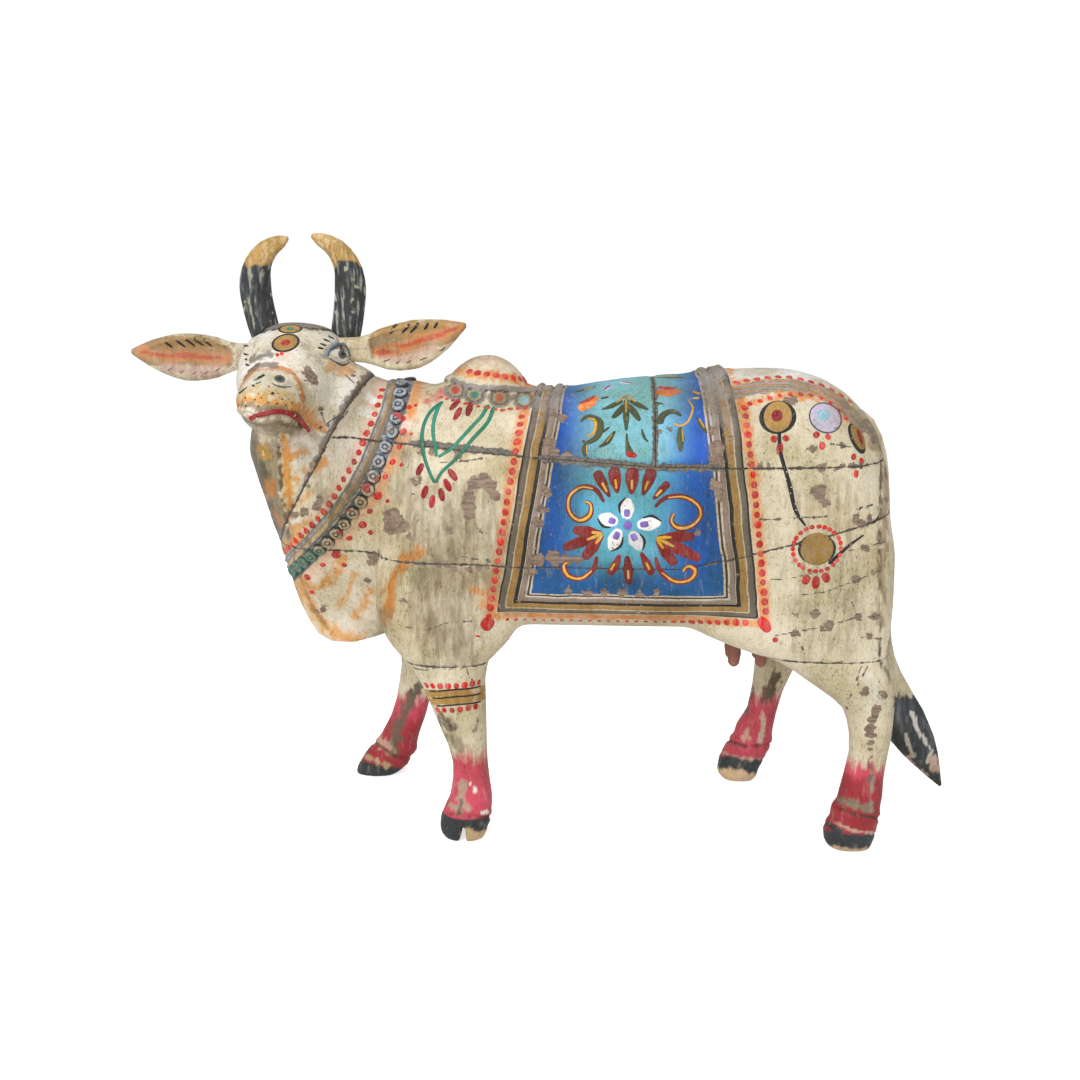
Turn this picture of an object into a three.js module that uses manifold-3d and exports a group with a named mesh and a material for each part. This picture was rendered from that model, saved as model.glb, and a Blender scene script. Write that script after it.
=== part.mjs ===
// Painted wooden cow with a hump, carved from boards that are pegged and glued together.
// Millimetres, +Z up. The cow walks towards -X and turns its head to its left side, -Y.
import * as THREE from 'three';
import { mergeVertices } from 'three/addons/utils/BufferGeometryUtils.js';
import Module from 'manifold-3d';

const wasm = await Module();
wasm.setup();

// Boards: heights of the glued joints, and the thin line left between two pieces
const glueLine = 0.3;
const lowerJointHeight = 179.5;
const lowerJointRise = 0.245;
const lowerJointBend = 85;
const upperJointHeight = 238;
const upperJointRise = 0.065;
const backJointX = 68;
const frontLegJointHeight = 117;
const rearLegJointHeight = 124;
const headJointTop = new THREE.Vector3(-101, 0, upperJointHeight + 46);
const headJointFoot = new THREE.Vector3(-150, 0, lowerJointHeight + 24.5);

// Pegs
const pegClearance = 0.3;
const boardPegDiameter = 12;
const boardPegLength = 46;
const lowerPegX = { front: -45, rear: 152 };
const upperPegX = { front: -18, rear: 120 };
const backPegRise = 24;
const neckPegDiameter = 10;
const neckPegLength = 44;
const legPegDiameter = 12;
const legPegLength = 44;
const hornTenonDiameter = 9;
const hornTenonLength = 20;
const hornTenonReach = 13;
const earTenonDiameter = 7;
const earTenonLength = 20;
const tailTenonDiameter = 7;
const tailTenonLength = 16;
const tailTenonHeight = 198;

// Body
const bodyHalfWidth = 65;
const humpHeight = 20;
const humpHalfLength = 27;
const humpHalfWidth = 24;
const legSpread = { left: 43.5, right_front: 45, right_rear: 50 };

// Saddle cloth and collar, carved in relief
const clothRidgeFront = 0;
const clothRidgeBack = 111;
const clothHemFront = -22;
const clothHemBack = 129;
const clothHemHeight = 151;
const clothRidgeHeight = upperJointHeight + 50;
const outerBorderWidth = 9.5;
const outerBorderRise = 2.6;
const innerBorderWidth = 6.5;
const innerBorderRise = 1.8;
const borderGroove = 1.5;
const collarWidth = 17;
const collarRise = 2;
const beadDiameter = 8;
const beadsPerSide = 13;

// Head
const skullCentre = new THREE.Vector3(-142, -8, upperJointHeight + 51);
const headTurn = THREE.MathUtils.degToRad(89);
const headNod = THREE.MathUtils.degToRad(12);
const headTilt = THREE.MathUtils.degToRad(4);
const hornDiameter = 19;
const hornTipDiameter = 8;
const earLength = 66;
const earHeight = 29;
const earThickness = 11;
const earSag = { right: 2.5, left: 5.5 };
const earHollowDepth = 4.5;

// Tail, teats and hooves
const tailWidth = 13;
const tailThickness = 6;
const tuftDepth = 28;
const teatDiameter = 9;
const teatLength = 21;
const teatPegDiameter = 5;
const teatPegLength = 9;
const teatSpacing = 17;
const udderFoot = rearLegJointHeight - 3;
const udderCentre = 132;
const cleftWidth = 3.5;
const cleftHeight = 11;

const alongX = new THREE.Vector3(1, 0, 0);
const alongY = new THREE.Vector3(0, 1, 0);
const alongZ = new THREE.Vector3(0, 0, 1);
const farAway = 400;

// Smooth curve through [position, value] pairs, with no overshoot between them
function through(pairs) {
  const slopes = pairs.slice(1).map(([x, y], i) => (y - pairs[i][1]) / (x - pairs[i][0]));
  const tangents = pairs.map((pair, i) => {
    const before = slopes[i - 1] ?? slopes[i];
    const after = slopes[i] ?? slopes[i - 1];
    return before * after <= 0 ? 0 : (2 * before * after) / (before + after);
  });
  return (x) => {
    const inside = THREE.MathUtils.clamp(x, pairs[0][0], pairs.at(-1)[0]);
    const i = Math.max(1, pairs.findIndex(([end]) => end >= inside)) - 1;
    const span = pairs[i + 1][0] - pairs[i][0];
    const t = (inside - pairs[i][0]) / span;
    const rise = pairs[i + 1][1] - pairs[i][1];
    const bulge = (1 - t) * tangents[i] * span - t * tangents[i + 1] * span + (2 * t - 1) * rise;
    return pairs[i][1] + t * rise + t * (1 - t) * bulge;
  };
}

// One closed ring of points, with half sizes a along u and b along v; a higher power is squarer,
// and taper draws in its lower side
function ring({ centre, u, v, a, b, power = 2, taper = 0, sides = 16 }) {
  return Array.from({ length: sides }, (_, i) => {
    const angle = (2 * Math.PI * i) / sides;
    const [c, s] = [Math.cos(angle), Math.sin(angle)];
    const across = a * Math.sign(c) * Math.abs(c) ** (2 / power) * (1 + taper * Math.min(0, s));
    const up = b * Math.sign(s) * Math.abs(s) ** (2 / power);
    return centre.clone().addScaledVector(u, across).addScaledVector(v, up);
  });
}

function toSolid(geometry) {
  geometry.deleteAttribute('normal');
  geometry.deleteAttribute('uv');
  const merged = mergeVertices(geometry);
  const vertProperties = new Float32Array(merged.attributes.position.array);
  const triVerts = new Uint32Array(merged.index.array);
  return new wasm.Manifold(new wasm.Mesh({ numProp: 3, vertProperties, triVerts }));
}

// Solid skinned over a row of rings, closed at both ends; u x v points along the row
function skin(rings) {
  const sides = rings[0].length;
  const points = rings.flat();
  const middle = (row) => row.reduce((sum, p) => sum.add(p), new THREE.Vector3()).divideScalar(sides);
  points.push(middle(rings[0]), middle(rings.at(-1)));
  const [firstCap, lastCap] = [points.length - 2, points.length - 1];
  const lastRow = (rings.length - 1) * sides;
  const faces = [];
  for (let i = 0; i < sides; i++) {
    const next = (i + 1) % sides;
    faces.push(firstCap, next, i, lastCap, lastRow + i, lastRow + next);
    for (let row = 0; row < lastRow; row += sides) {
      const [p, q, r, s] = [row + i, row + next, row + sides + next, row + sides + i];
      faces.push(p, q, r, p, r, s);
    }
  }
  const geometry = new THREE.BufferGeometry().setFromPoints(points);
  geometry.setIndex(faces);
  return toSolid(geometry);
}

// Level rings stacked from the bottom up: each level is { z, x, y, a, b }
function stack(levels, options = {}) {
  const rings = levels.map(({ z, x, y, a, b }) =>
    ring({ centre: new THREE.Vector3(x, y, z), u: alongX, v: alongY, a, b, ...options }));
  return skin(rings);
}

// Rings square to a curve through points, with half sizes a(t) and b(t); b lies along side
function sweep({ points, side, a, b, steps, shift = () => 0, ...options }) {
  const path = new THREE.CatmullRomCurve3(points, false, 'centripetal');
  const rings = Array.from({ length: steps + 1 }, (_, i) => {
    const t = i / steps;
    const tangent = path.getTangentAt(t);
    const u = new THREE.Vector3().crossVectors(side, tangent).normalize();
    const v = new THREE.Vector3().crossVectors(tangent, u);
    const centre = path.getPointAt(t).addScaledVector(u, shift(t));
    return ring({ centre, u, v, a: a(t), b: b(t), ...options });
  });
  return skin(rings);
}

// Flat outline of [x, z] points, carried right through the body along Y
function prism(outline, halfDepth = farAway) {
  const shape = new THREE.Shape(outline.map(([x, z]) => new THREE.Vector2(x, z)));
  const geometry = new THREE.ExtrudeGeometry(shape, { depth: 2 * halfDepth, bevelEnabled: false });
  return toSolid(geometry.rotateX(Math.PI / 2).translate(0, halfDepth, 0));
}

function rod({ centre, direction, diameter, length, tip = diameter }) {
  const geometry = new THREE.CylinderGeometry(tip / 2, diameter / 2, length, 16);
  geometry.applyQuaternion(new THREE.Quaternion().setFromUnitVectors(alongY, direction));
  return toSolid(geometry.translate(...centre.toArray()));
}

// The bored hole for a peg: wider and longer than the peg by its clearance
function bore({ diameter, length, ...place }) {
  const [wide, deep] = [diameter + 2 * pegClearance, length + 2 * pegClearance];
  return rod({ ...place, diameter: wide, length: deep });
}

// Torso outline along X: the back line stands above the upper joint, the throat hangs from the
// joints, and then come the belly line, the half width and how thin the keel is
const backLine = through([
  [-181, 5], [-177, 21], [-168, 33], [-152, 42], [-120, 47], [-95, 43], [-74, 41.5], [-30, 39],
  [0, 37.5], [37, 43.7], [67, 46.8], [97, 49.3], [133, 52], [151, 51.3], [163, 48.4], [175, 43.7],
  [187, 35], [196, 25], [202.5, 14], [207.5, -1], [211, -26],
].map(([x, up]) => [x, upperJointHeight + up]));
const bellyLine = through([
  [-181, upperJointHeight - 10], [-177, upperJointHeight - 27], [-172, lowerJointHeight + 15.5],
  [-167, lowerJointHeight - 7], [-163, 156.5], [-158.5, 139], [-153.5, 127], [-145.5, 115],
  [-130, 109], [-107, frontLegJointHeight - 2.5], [-80, frontLegJointHeight + 8],
  [-12, frontLegJointHeight + 17], [100, rearLegJointHeight + 10], [160, rearLegJointHeight + 6],
  [190, rearLegJointHeight + 6], [202, rearLegJointHeight + 13], [211, rearLegJointHeight + 36],
]);
const widthLine = through([
  [-181, 0.1], [-177, 0.22], [-168, 0.36], [-152, 0.48], [-120, 0.58], [-100, 0.63],
  [-80, 0.72], [-60, 0.82], [-40, 0.91], [-10, 0.97], [70, 1], [130, 0.99], [165, 0.94],
  [185, 0.86], [198, 0.7], [207, 0.5], [211, 0.3],
]);
const keelLine = through([[-150, 0.13], [-125, 0.17], [-105, 0.32], [-80, 0.75], [-60, 1]]);
const keelReach = 0.62;
const backPower = 2.3;
const bellyPower = through([[-110, 2.3], [-50, 3.8]]);
const torsoSides = 24;
const torsoStations = [
  -181, -178, -174, -169, -163, -158, -153, -146, -136, -122, -107, -91, -76, -60, -42,
  -22, 4, 32, 60, 86, 110, 132, 152, 170, 184, 194, 202, 207.5, 211,
];

// How much of the full width the section has at a height, from 0 at the keel to 1 at the back
function keelWidth(x, height) {
  const t = THREE.MathUtils.smoothstep(height, 0, keelReach);
  return THREE.MathUtils.lerp(keelLine(x), 1, t);
}

function torsoRing(x, rise) {
  const [low, high] = [bellyLine(x) - rise, backLine(x) + rise];
  const centre = new THREE.Vector3(x, 0, (low + high) / 2);
  const [a, b] = [bodyHalfWidth * widthLine(x), (high - low) / 2];
  const place = { centre, u: alongY, v: alongZ, a, b, sides: torsoSides };
  const above = ring({ ...place, power: backPower });
  const below = ring({ ...place, power: bellyPower(x) });
  return above.map((point, i) => {
    const { y, z } = i <= torsoSides / 2 ? point : below[i];
    const out = Math.sign(y) * Math.min(rise, Math.abs(y));
    return new THREE.Vector3(x, y * keelWidth(x, (z - low) / (high - low)) + out, z);
  });
}

const torso = (from, to, rise = 0) =>
  skin(torsoStations.filter((x) => x >= from && x <= to).map((x) => torsoRing(x, rise)));

function sideOfTorso(x, z) {
  const [low, high] = [bellyLine(x), backLine(x)];
  const height = THREE.MathUtils.clamp((z - low) / (high - low), 0, 1);
  const power = height > 0.5 ? backPower : bellyPower(x);
  const round = (1 - Math.abs(2 * height - 1) ** power) ** (1 / power);
  return bodyHalfWidth * widthLine(x) * round * keelWidth(x, height);
}

// Hump over the shoulders
function hump() {
  const foot = backLine(-35) - 18;
  const profile = [[0, 1.2, 1.25], [8, 1.15, 1.15], [18, 1.02, 1], [24, 0.9, 0.84],
    [30, 0.7, 0.64], [35, 0.46, 0.42], [38, 0.2, 0.18]];
  const top = profile.at(-1)[0];
  return stack(profile.map(([z, a, b]) => {
    const height = z <= 18 ? z : 18 + ((z - 18) * humpHeight) / (top - 18);
    return { z: foot + height, x: -35 + (3 * z) / top, y: 0, a: humpHalfLength * a, b: humpHalfWidth * b };
  }), { sides: 20 });
}

// Legs: rows of [height, front edge, back edge, half thickness] from the sole to the joint
const legs = {
  front_left: {
    out: -legSpread.left, jointHeight: frontLegJointHeight,
    rows: [[0, -58, -32.5, 11], [4, -60.5, -31, 13], [9, -61, -30, 14], [14, -59.4, -29, 13.6],
      [16, -58, -28.6, 12.8], [20, -57.6, -27.8, 13.4], [27, -54.2, -27.6, 12.8], [39, -52.2, -29.2, 11],
      [50, -52, -30.2, 10.6], [62, -54.8, -30.5, 11.6], [75, -60, -30.6, 13], [88, -64.8, -30.8, 14.6],
      [104, -71, -31, 16.5]],
    joint: [-80, -28.5, 17.5],
    shoulder: [[12, -92, -15.5, 20], [30, -99, -5, 23], [55, -98, -2, 26], [85, -92, -8, 27],
      [112, -78, -18, 24]],
  },
  front_right: {
    out: legSpread.right_front, jointHeight: frontLegJointHeight,
    rows: [[0, -134, -104, 11], [4, -133, -99, 13], [9, -130, -95.4, 14], [15, -126.5, -91.5, 13.6],
      [18, -122, -90.4, 12.8], [22, -119.6, -89.6, 13.4], [29, -115, -88, 12.8], [43, -107.7, -83, 11],
      [56, -103.4, -79.5, 10.6], [69, -101, -76, 11.6], [82, -99, -71, 13], [97, -99.5, -64, 15.5]],
    joint: [-102, -59, 17.5],
    shoulder: [[12, -108, -42, 20], [30, -112, -28, 23], [55, -108, -16, 26], [85, -98, -14, 27],
      [112, -80, -18, 24]],
  },
  rear_left: {
    out: -legSpread.left, jointHeight: rearLegJointHeight,
    rows: [[0, 180.5, 207, 11], [4, 178.4, 208, 13], [9, 178.4, 209, 14], [15, 180.4, 210, 13.4],
      [17, 181.8, 210, 12.8], [25, 183.4, 211, 13.4], [29, 185.4, 211.4, 12.2], [34, 186.2, 212, 12],
      [47, 188.6, 212, 11], [60, 190.6, 213.2, 11], [72, 190, 214.6, 12], [82, 187.8, 215, 13],
      [90, 184.6, 215, 14], [98, 176, 214.8, 15], [107, 163, 213.5, 16.5],
      [116, 150, 210, 17.5]],
    joint: [133, 207, 18.5],
    shoulder: [[6, 112, 209, 20], [14, 92, 211, 23], [34, 84, 212, 28], [62, 92, 212, 31], [93, 106, 206, 30],
      [118, 126, 196, 24]],
  },
  rear_right: {
    out: legSpread.right_rear, jointHeight: rearLegJointHeight,
    rows: [[0, 126, 149, 11], [4, 122.6, 151, 13], [10, 123.6, 152.4, 14], [16, 125, 155.6, 13.2],
      [19, 127, 156.4, 12.6], [27, 131.4, 159.6, 13.2], [31, 133.4, 160, 12], [38, 135, 160.4, 11.8],
      [50, 142, 162.2, 11], [66, 144.6, 166, 11], [80, 145.6, 171.4, 13], [98, 146, 180, 16],
      [112, 138, 192, 17.5]],
    joint: [126, 198, 18.5],
    shoulder: [[6, 108, 201, 20], [14, 92, 204, 23], [34, 84, 208, 28], [62, 92, 209, 31], [93, 104, 204, 30],
      [118, 122, 194, 24]],
  },
};
const legCentreY = (leg, height) => leg.out * (1 - Math.max(0, height - leg.jointHeight) / 240);
const legLevel = (leg, [height, front, back, half]) =>
  ({ z: height, x: (front + back) / 2, y: legCentreY(leg, height), a: (back - front) / 2, b: half });

function legSolid(leg) {
  const rows = leg.rows.filter(([height]) => height < leg.jointHeight - 3);
  const top = [leg.jointHeight - glueLine / 2, ...leg.joint];
  return stack([...rows, top].map((row) => legLevel(leg, row)), { power: 2.4 });
}

function shoulder(leg) {
  const rows = leg.shoulder.map(([up, ...edges]) => [leg.jointHeight + up, ...edges]);
  const foot = [leg.jointHeight + glueLine / 2, ...leg.joint];
  return stack([foot, ...rows].map((row) => legLevel(leg, row)), { power: 2.4, sides: 20 });
}

function legPegPlace(leg) {
  const [front, back] = leg.joint;
  const below = leg.rows.findLast(([height]) => height < leg.jointHeight - legPegLength / 2);
  const x = ((front + back) / 2 + (below[1] + below[2]) / 2) / 2;
  const centre = new THREE.Vector3(x, legCentreY(leg, leg.jointHeight), leg.jointHeight);
  return { centre, direction: alongZ, diameter: legPegDiameter, length: legPegLength };
}

// Two toes on the near front hoof, parted by a slot with a round top
function cleft() {
  const [, front, back] = legs.front_left.rows[0];
  const [x, half, top] = [(front + back) / 2, cleftWidth / 2, cleftHeight - cleftWidth / 2];
  const outline = new THREE.Shape().moveTo(x - half, -1).lineTo(x + half, -1).lineTo(x + half, top);
  outline.absarc(x, top, half, 0, Math.PI);
  return prism(outline.getPoints(4).slice(0, -1).map((p) => [p.x, p.y]));
}

// Saddle cloth: a raised frame of two mouldings that runs over the back and down both sides
function clothOutline(inset) {
  const [low, high] = [clothHemHeight + inset, clothRidgeHeight + 60];
  const frontLean = (clothRidgeFront - clothHemFront) / (clothRidgeHeight - clothHemHeight);
  const backLean = (clothRidgeBack - clothHemBack) / (clothRidgeHeight - clothHemHeight);
  const frontX = (z) => clothHemFront + inset + frontLean * (z - clothHemHeight);
  const backX = (z) => clothHemBack - inset + backLean * (z - clothHemHeight);
  return [[frontX(low), low], [backX(low), low], [backX(high), high], [frontX(high), high]];
}

function moulding(outerInset, width, rise) {
  const frame = prism(clothOutline(outerInset)).subtract(prism(clothOutline(outerInset + width)));
  return torso(clothHemFront - 20, clothHemBack + 25, rise).intersect(frame);
}

// Collar: a raised band with a row of beads down each side of the neck
const collarLine = new THREE.CatmullRomCurve3([
  [-79, upperJointHeight + 62], [-80.5, upperJointHeight + 46], [-85, upperJointHeight + 24],
  [-96, upperJointHeight - 2], [-115, lowerJointHeight + 27.5], [-132, lowerJointHeight + 8.5],
  [-152, lowerJointHeight - 9.5],
].map(([x, z]) => new THREE.Vector3(x, 0, z)));

function collarEdge(offset) {
  return collarLine.getSpacedPoints(12).map((point, i) => {
    const tangent = collarLine.getTangentAt(i / 12);
    return [point.x + tangent.z * offset, point.z - tangent.x * offset];
  });
}

function collar() {
  const outline = [...collarEdge(-collarWidth / 2), ...collarEdge(collarWidth / 2).reverse()];
  return torso(-178, -42, collarRise).intersect(prism(outline));
}

function collarBeads() {
  const beads = [];
  for (let i = 0; i < beadsPerSide; i++) {
    const { x, z } = collarLine.getPointAt(0.15 + (0.74 * i) / (beadsPerSide - 1));
    for (const side of [-1, 1]) {
      const y = side * (sideOfTorso(x, z) + collarRise - beadDiameter * 0.12);
      const bead = new THREE.SphereGeometry(beadDiameter / 2, 7, 4).rotateX(Math.PI / 2);
      beads.push(toSolid(bead.scale(1, 0.75, 1).translate(x, y, z)));
    }
  }
  return beads;
}

// Udder under the flank, with bored seats for four teats
function udder() {
  const profile = [[0, 11, 13], [3, 17, 19], [9, 22, 25], [18, 25, 28]];
  return stack(profile.map(([up, a, b]) => ({ z: udderFoot + up, x: udderCentre, y: 0, a, b })), { sides: 18 });
}

const teatPlaces = {
  front_left: [-1, -1], front_right: [-1, 1], rear_left: [1, -1], rear_right: [1, 1],
};
const teatX = (towardsTail) => udderCentre + (towardsTail * teatSpacing) / 2;
const teatY = (side) => side * teatSpacing * 0.45;
const teatTop = udderFoot + 2;

function teatPeg([towardsTail, side], cut = rod) {
  const height = teatTop + teatPegLength / 2;
  const centre = new THREE.Vector3(teatX(towardsTail), teatY(side), height);
  return cut({ centre, direction: alongZ, diameter: teatPegDiameter, length: teatPegLength });
}

function teat([towardsTail, side], grow = 0) {
  const profile = [[teatLength, 0.3], [teatLength - 2, 0.78], [teatLength * 0.6, 1], [0, 0.85]];
  return stack(profile.map(([down, share]) => ({
    z: teatTop - down + grow, x: teatX(towardsTail), y: teatY(side),
    a: (teatDiameter / 2) * share + grow, b: (teatDiameter / 2) * share + grow,
  })), { sides: 12 });
}

// Tail: a flat strip down the rump, then a tuft that swings out behind the legs
const tailPath = [
  [193, upperJointHeight + 28], [202, upperJointHeight + 16], [208.4, upperJointHeight - 1],
  [212, upperJointHeight - 26], [215, 178], [217, 145], [219.5, 122], [221.5, 103], [228, 80],
  [237.5, 60], [247, 45], [254, 33], [262, 19.5],
].map(([x, z]) => new THREE.Vector3(x, 0, z));
const tailSeat = new THREE.CatmullRomCurve3(tailPath).getPoints(120).find((p) => p.z <= tailTenonHeight);
const tailWide = through([[0, 0.25], [0.06, 1], [0.55, 0.85], [0.62, 0.7], [0.8, 1], [1, 0.2]]);
const tailDeep = through([
  [0, 0.4], [0.05, tailThickness / 2], [0.56, tailThickness / 2], [0.64, tuftDepth * 0.22],
  [0.72, tuftDepth * 0.4], [0.8, tuftDepth * 0.5], [0.87, tuftDepth * 0.43], [0.95, tuftDepth * 0.21], [1, 1],
]);

function tailSweep() {
  return sweep({
    points: tailPath, side: alongY, steps: 24, power: 2.2,
    a: tailDeep,
    b: (t) => (tailWidth / 2) * tailWide(t),
  });
}

function tailTenon(cut = rod) {
  const centre = tailSeat.clone().addScaledVector(alongX, -tailTenonLength / 2);
  return cut({ centre, direction: alongX, diameter: tailTenonDiameter, length: tailTenonLength });
}

// Head: rings along the line from the poll to the nose, in the head's own frame
const facing = new THREE.Vector3(-Math.cos(headTurn), -Math.sin(headTurn), 0);
const forward = facing.clone().multiplyScalar(Math.cos(headNod)).addScaledVector(alongZ, -Math.sin(headNod));
const level = new THREE.Vector3().crossVectors(alongZ, forward).normalize();
const headLeft = level.clone().applyAxisAngle(forward, -headTilt);
const headUp = new THREE.Vector3().crossVectors(forward, headLeft);
const inHead = (ahead, left, up) => skullCentre.clone()
  .addScaledVector(forward, ahead).addScaledVector(headLeft, left).addScaledVector(headUp, up);

function headRings(rows, options) {
  return skin(rows.map(([ahead, up, a, b, taper = 0, left = 0]) => {
    const size = { a: a + options.grow, b: b + options.grow, taper };
    return ring({ centre: inHead(ahead, left, up), u: headLeft, v: headUp, ...size, ...options });
  }));
}

// The last number of a row is how far the ring lies to the left: the right cheek is the fuller one.
const skull = (grow = 0) => headRings([
  [-26, 0, 8, 8], [-23, 0, 17, 16], [-14, 0, 27.5, 24, 0, -1.5], [0, 0, 32, 27, 0, -2.6],
  [14, -1, 33.2, 27.5, 0, -3.2], [26, -2, 31.6, 26.5, 0, -3.1], [38, -3, 27.5, 23, 0.1, -2.6],
  [50, -3, 22.8, 19.4, 0.2, -2], [60, -2, 19.2, 17, 0.25, -1.4], [62.5, -1.5, 19.2, 18.8, 0.25, -1],
  [65.5, -1, 19.2, 19.2, 0.25, -0.9], [68.5, -1, 18, 17.4, 0.3, -0.8], [77, 0, 17.6, 16, 0.3, -0.5],
  [84, 0, 15.2, 13.4, 0.3], [89, -0.4, 11, 9.6, 0.2], [92, -1, 5, 5],
], { power: 2.3, sides: 24, grow });
const jaw = (grow = 0) => headRings([
  [6, -18, 18, 10], [24, -19, 17.5, 11], [44, -19.4, 14.5, 9.6], [60, -19, 13, 9.4], [70, -18, 12.4, 8.8],
  [77, -17, 10, 7], [81, -16, 5.4, 4],
], { power: 2.3, sides: 16, grow });

// The neck narrows from inside the shoulders into the skull
function neckRoot(grow = 0) {
  const foot = headJointTop.clone().lerp(headJointFoot, 0.55).add(new THREE.Vector3(32, 0, 0));
  const top = inHead(19, -3.5, -3);
  const along = new THREE.Vector3(-0.72, -0.36, 0.6).normalize();
  const u = new THREE.Vector3().crossVectors(alongZ, along).normalize();
  const v = new THREE.Vector3().crossVectors(along, u);
  const profile = [[0, 40, 38], [0.3, 37, 35], [0.55, 33.5, 32.5], [0.82, 29.5, 28.5], [1, 24, 23]];
  return skin(profile.map(([share, a, b]) => {
    const centre = foot.clone().lerp(top, share);
    return ring({ centre, u, v, a: a + grow, b: b + grow, power: 2.1, sides: 18 });
  }));
}

// Horns rise from the poll, bow outwards and close in again at the tips
const hornPoints = {
  right: [[-7, -22.4, 4], [-11, -30, 27.4], [-12.4, -32.7, 44.3], [-12, -30.5, 57], [-11, -23.7, 67],
    [-10, -10.7, 75]],
  left: [[-7.7, 20.5, 7], [-12, 23.8, 31], [-13.4, 25, 48], [-13, 23.3, 60.4], [-12, 16.8, 70.4],
    [-10, 3.2, 77.4]],
};

function horn(side, grow = 0) {
  const points = hornPoints[side].map((p) => inHead(...p));
  const thick = through([[0, 0.8], [0.25, 0.98], [0.5, 1], [0.72, 0.62], [0.93, 0], [0.97, -0.2], [1, -0.5]]);
  const half = (t) => THREE.MathUtils.lerp(hornTipDiameter, hornDiameter, thick(t)) / 2 + grow;
  return sweep({ points, side: facing, steps: 16, a: half, b: half, sides: 14 });
}

function hornTenon(side, cut = rod) {
  const [first, second] = hornPoints[side].slice(0, 2).map((p) => inHead(...p));
  const direction = second.sub(first).normalize();
  const centre = first.addScaledVector(direction, hornTenonReach - hornTenonLength / 2);
  return cut({ centre, direction, diameter: hornTenonDiameter, length: hornTenonLength });
}

// Ears: leaf shapes that stand out sideways, hollowed on the face side
const earRoots = { right: [4.6, -26.5, 7.3], left: [4, 22.2, 14.2] };
const earTenonReach = { right: 7, left: 1 };
const earTips = { right: [9.5, -104.4, 5], left: [4, 90, 32.3] };
const earRise = through([
  [0, 0.5], [0.16, 0.54], [0.38, 0.92], [0.56, 1], [0.78, 0.72], [0.93, 0.32], [1, 0.1],
]);
const earThick = through([[0, 0.9], [0.2, 0.9], [0.5, 1], [0.8, 0.7], [1, 0.25]]);

function earSweep(side, { shrink = 0, depth = 0 } = {}) {
  const [root, tip] = [earRoots[side], earTips[side]].map((p) => inHead(...p));
  const axis = tip.clone().sub(root).normalize();
  const start = depth ? 0.24 : 0;
  const end = depth ? 0.95 : 1;
  const reach = earLength + 12;
  const down = side === 'left' ? -1 : 1;
  const points = [start, (start + end) / 2, end].map((t) =>
    root.clone().addScaledVector(axis, t * reach).addScaledVector(facing, depth));
  return sweep({
    points, side: facing, steps: 12, sides: 14,
    shift: (t) => down * earSag[side] * Math.sin(Math.PI * (start + t * (end - start))),
    a: (t) => Math.max(0.4, (earHeight / 2) * earRise(start + t * (end - start)) - shrink),
    b: (t) => Math.max(0.4, (earThickness / 2) * earThick(start + t * (end - start)) - shrink / 3),
  });
}

function earTenon(side, cut = rod) {
  const [root, tip] = [earRoots[side], earTips[side]].map((p) => inHead(...p));
  const direction = tip.sub(root).normalize();
  const centre = root.addScaledVector(direction, earTenonReach[side]);
  return cut({ centre, direction, diameter: earTenonDiameter, length: earTenonLength });
}

// The whole carved body, before it is parted into boards
const lowerJoint = (x) => lowerJointHeight + lowerJointRise * Math.max(0, x - lowerJointBend);
const upperJoint = (x) => upperJointHeight + upperJointRise * Math.max(0, backJointX - x);
const headAcross = headJointTop.clone().sub(headJointFoot).normalize();
const headNormal = new THREE.Vector3(-headAcross.z, 0, headAcross.x);

// Everything on the head's side of the neck joint, moved along the joint's normal
function headSide(offset) {
  const corner = (along, out) => {
    const p = headJointTop.clone().addScaledVector(headAcross, along);
    p.addScaledVector(headNormal, offset + out);
    return [p.x, p.z];
  };
  const [low, high] = [-farAway, farAway];
  return prism([corner(low, 0), corner(high, 0), corner(high, farAway), corner(low, farAway)]);
}

const wholeTorso = torso(torsoStations[0], torsoStations.at(-1));
const carvedBody = [
  hump(), udder(), ...Object.values(legs).map(shoulder),
  moulding(0, outerBorderWidth, outerBorderRise),
  moulding(outerBorderWidth + borderGroove, innerBorderWidth, innerBorderRise),
  collar(), ...collarBeads(),
].reduce((body, piece) => body.add(piece), wholeTorso).subtract(headSide(-glueLine / 2));

// The board above a joint line and the board below it, each kept half a glue line away
const [nose, rump] = [-farAway, farAway];
function above(line, bends) {
  const joint = [nose, ...bends, rump].map((x) => [x, line(x) + glueLine / 2]);
  return prism([...joint, [rump, 3 * farAway], [nose, 3 * farAway]]);
}
function below(line, bends) {
  const joint = [nose, ...bends, rump].map((x) => [x, line(x) - glueLine / 2]);
  return prism([[nose, -farAway], [rump, -farAway], ...joint.reverse()]);
}
const upto = (x) => prism([[nose, -farAway], [x, -farAway], [x, farAway], [nose, farAway]]);
const beyond = (x) => prism([[x, -farAway], [rump, -farAway], [rump, farAway], [x, farAway]]);
const overLower = above(lowerJoint, [lowerJointBend]);
const overUpper = above(upperJoint, [backJointX]).intersect(overLower);
const regions = {
  body_lower: below(lowerJoint, [lowerJointBend]),
  body_middle: below(upperJoint, [backJointX]).intersect(overLower),
  back_block_front: overUpper.intersect(upto(backJointX - glueLine / 2)),
  back_block_rear: overUpper.intersect(beyond(backJointX + glueLine / 2)),
};

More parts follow.
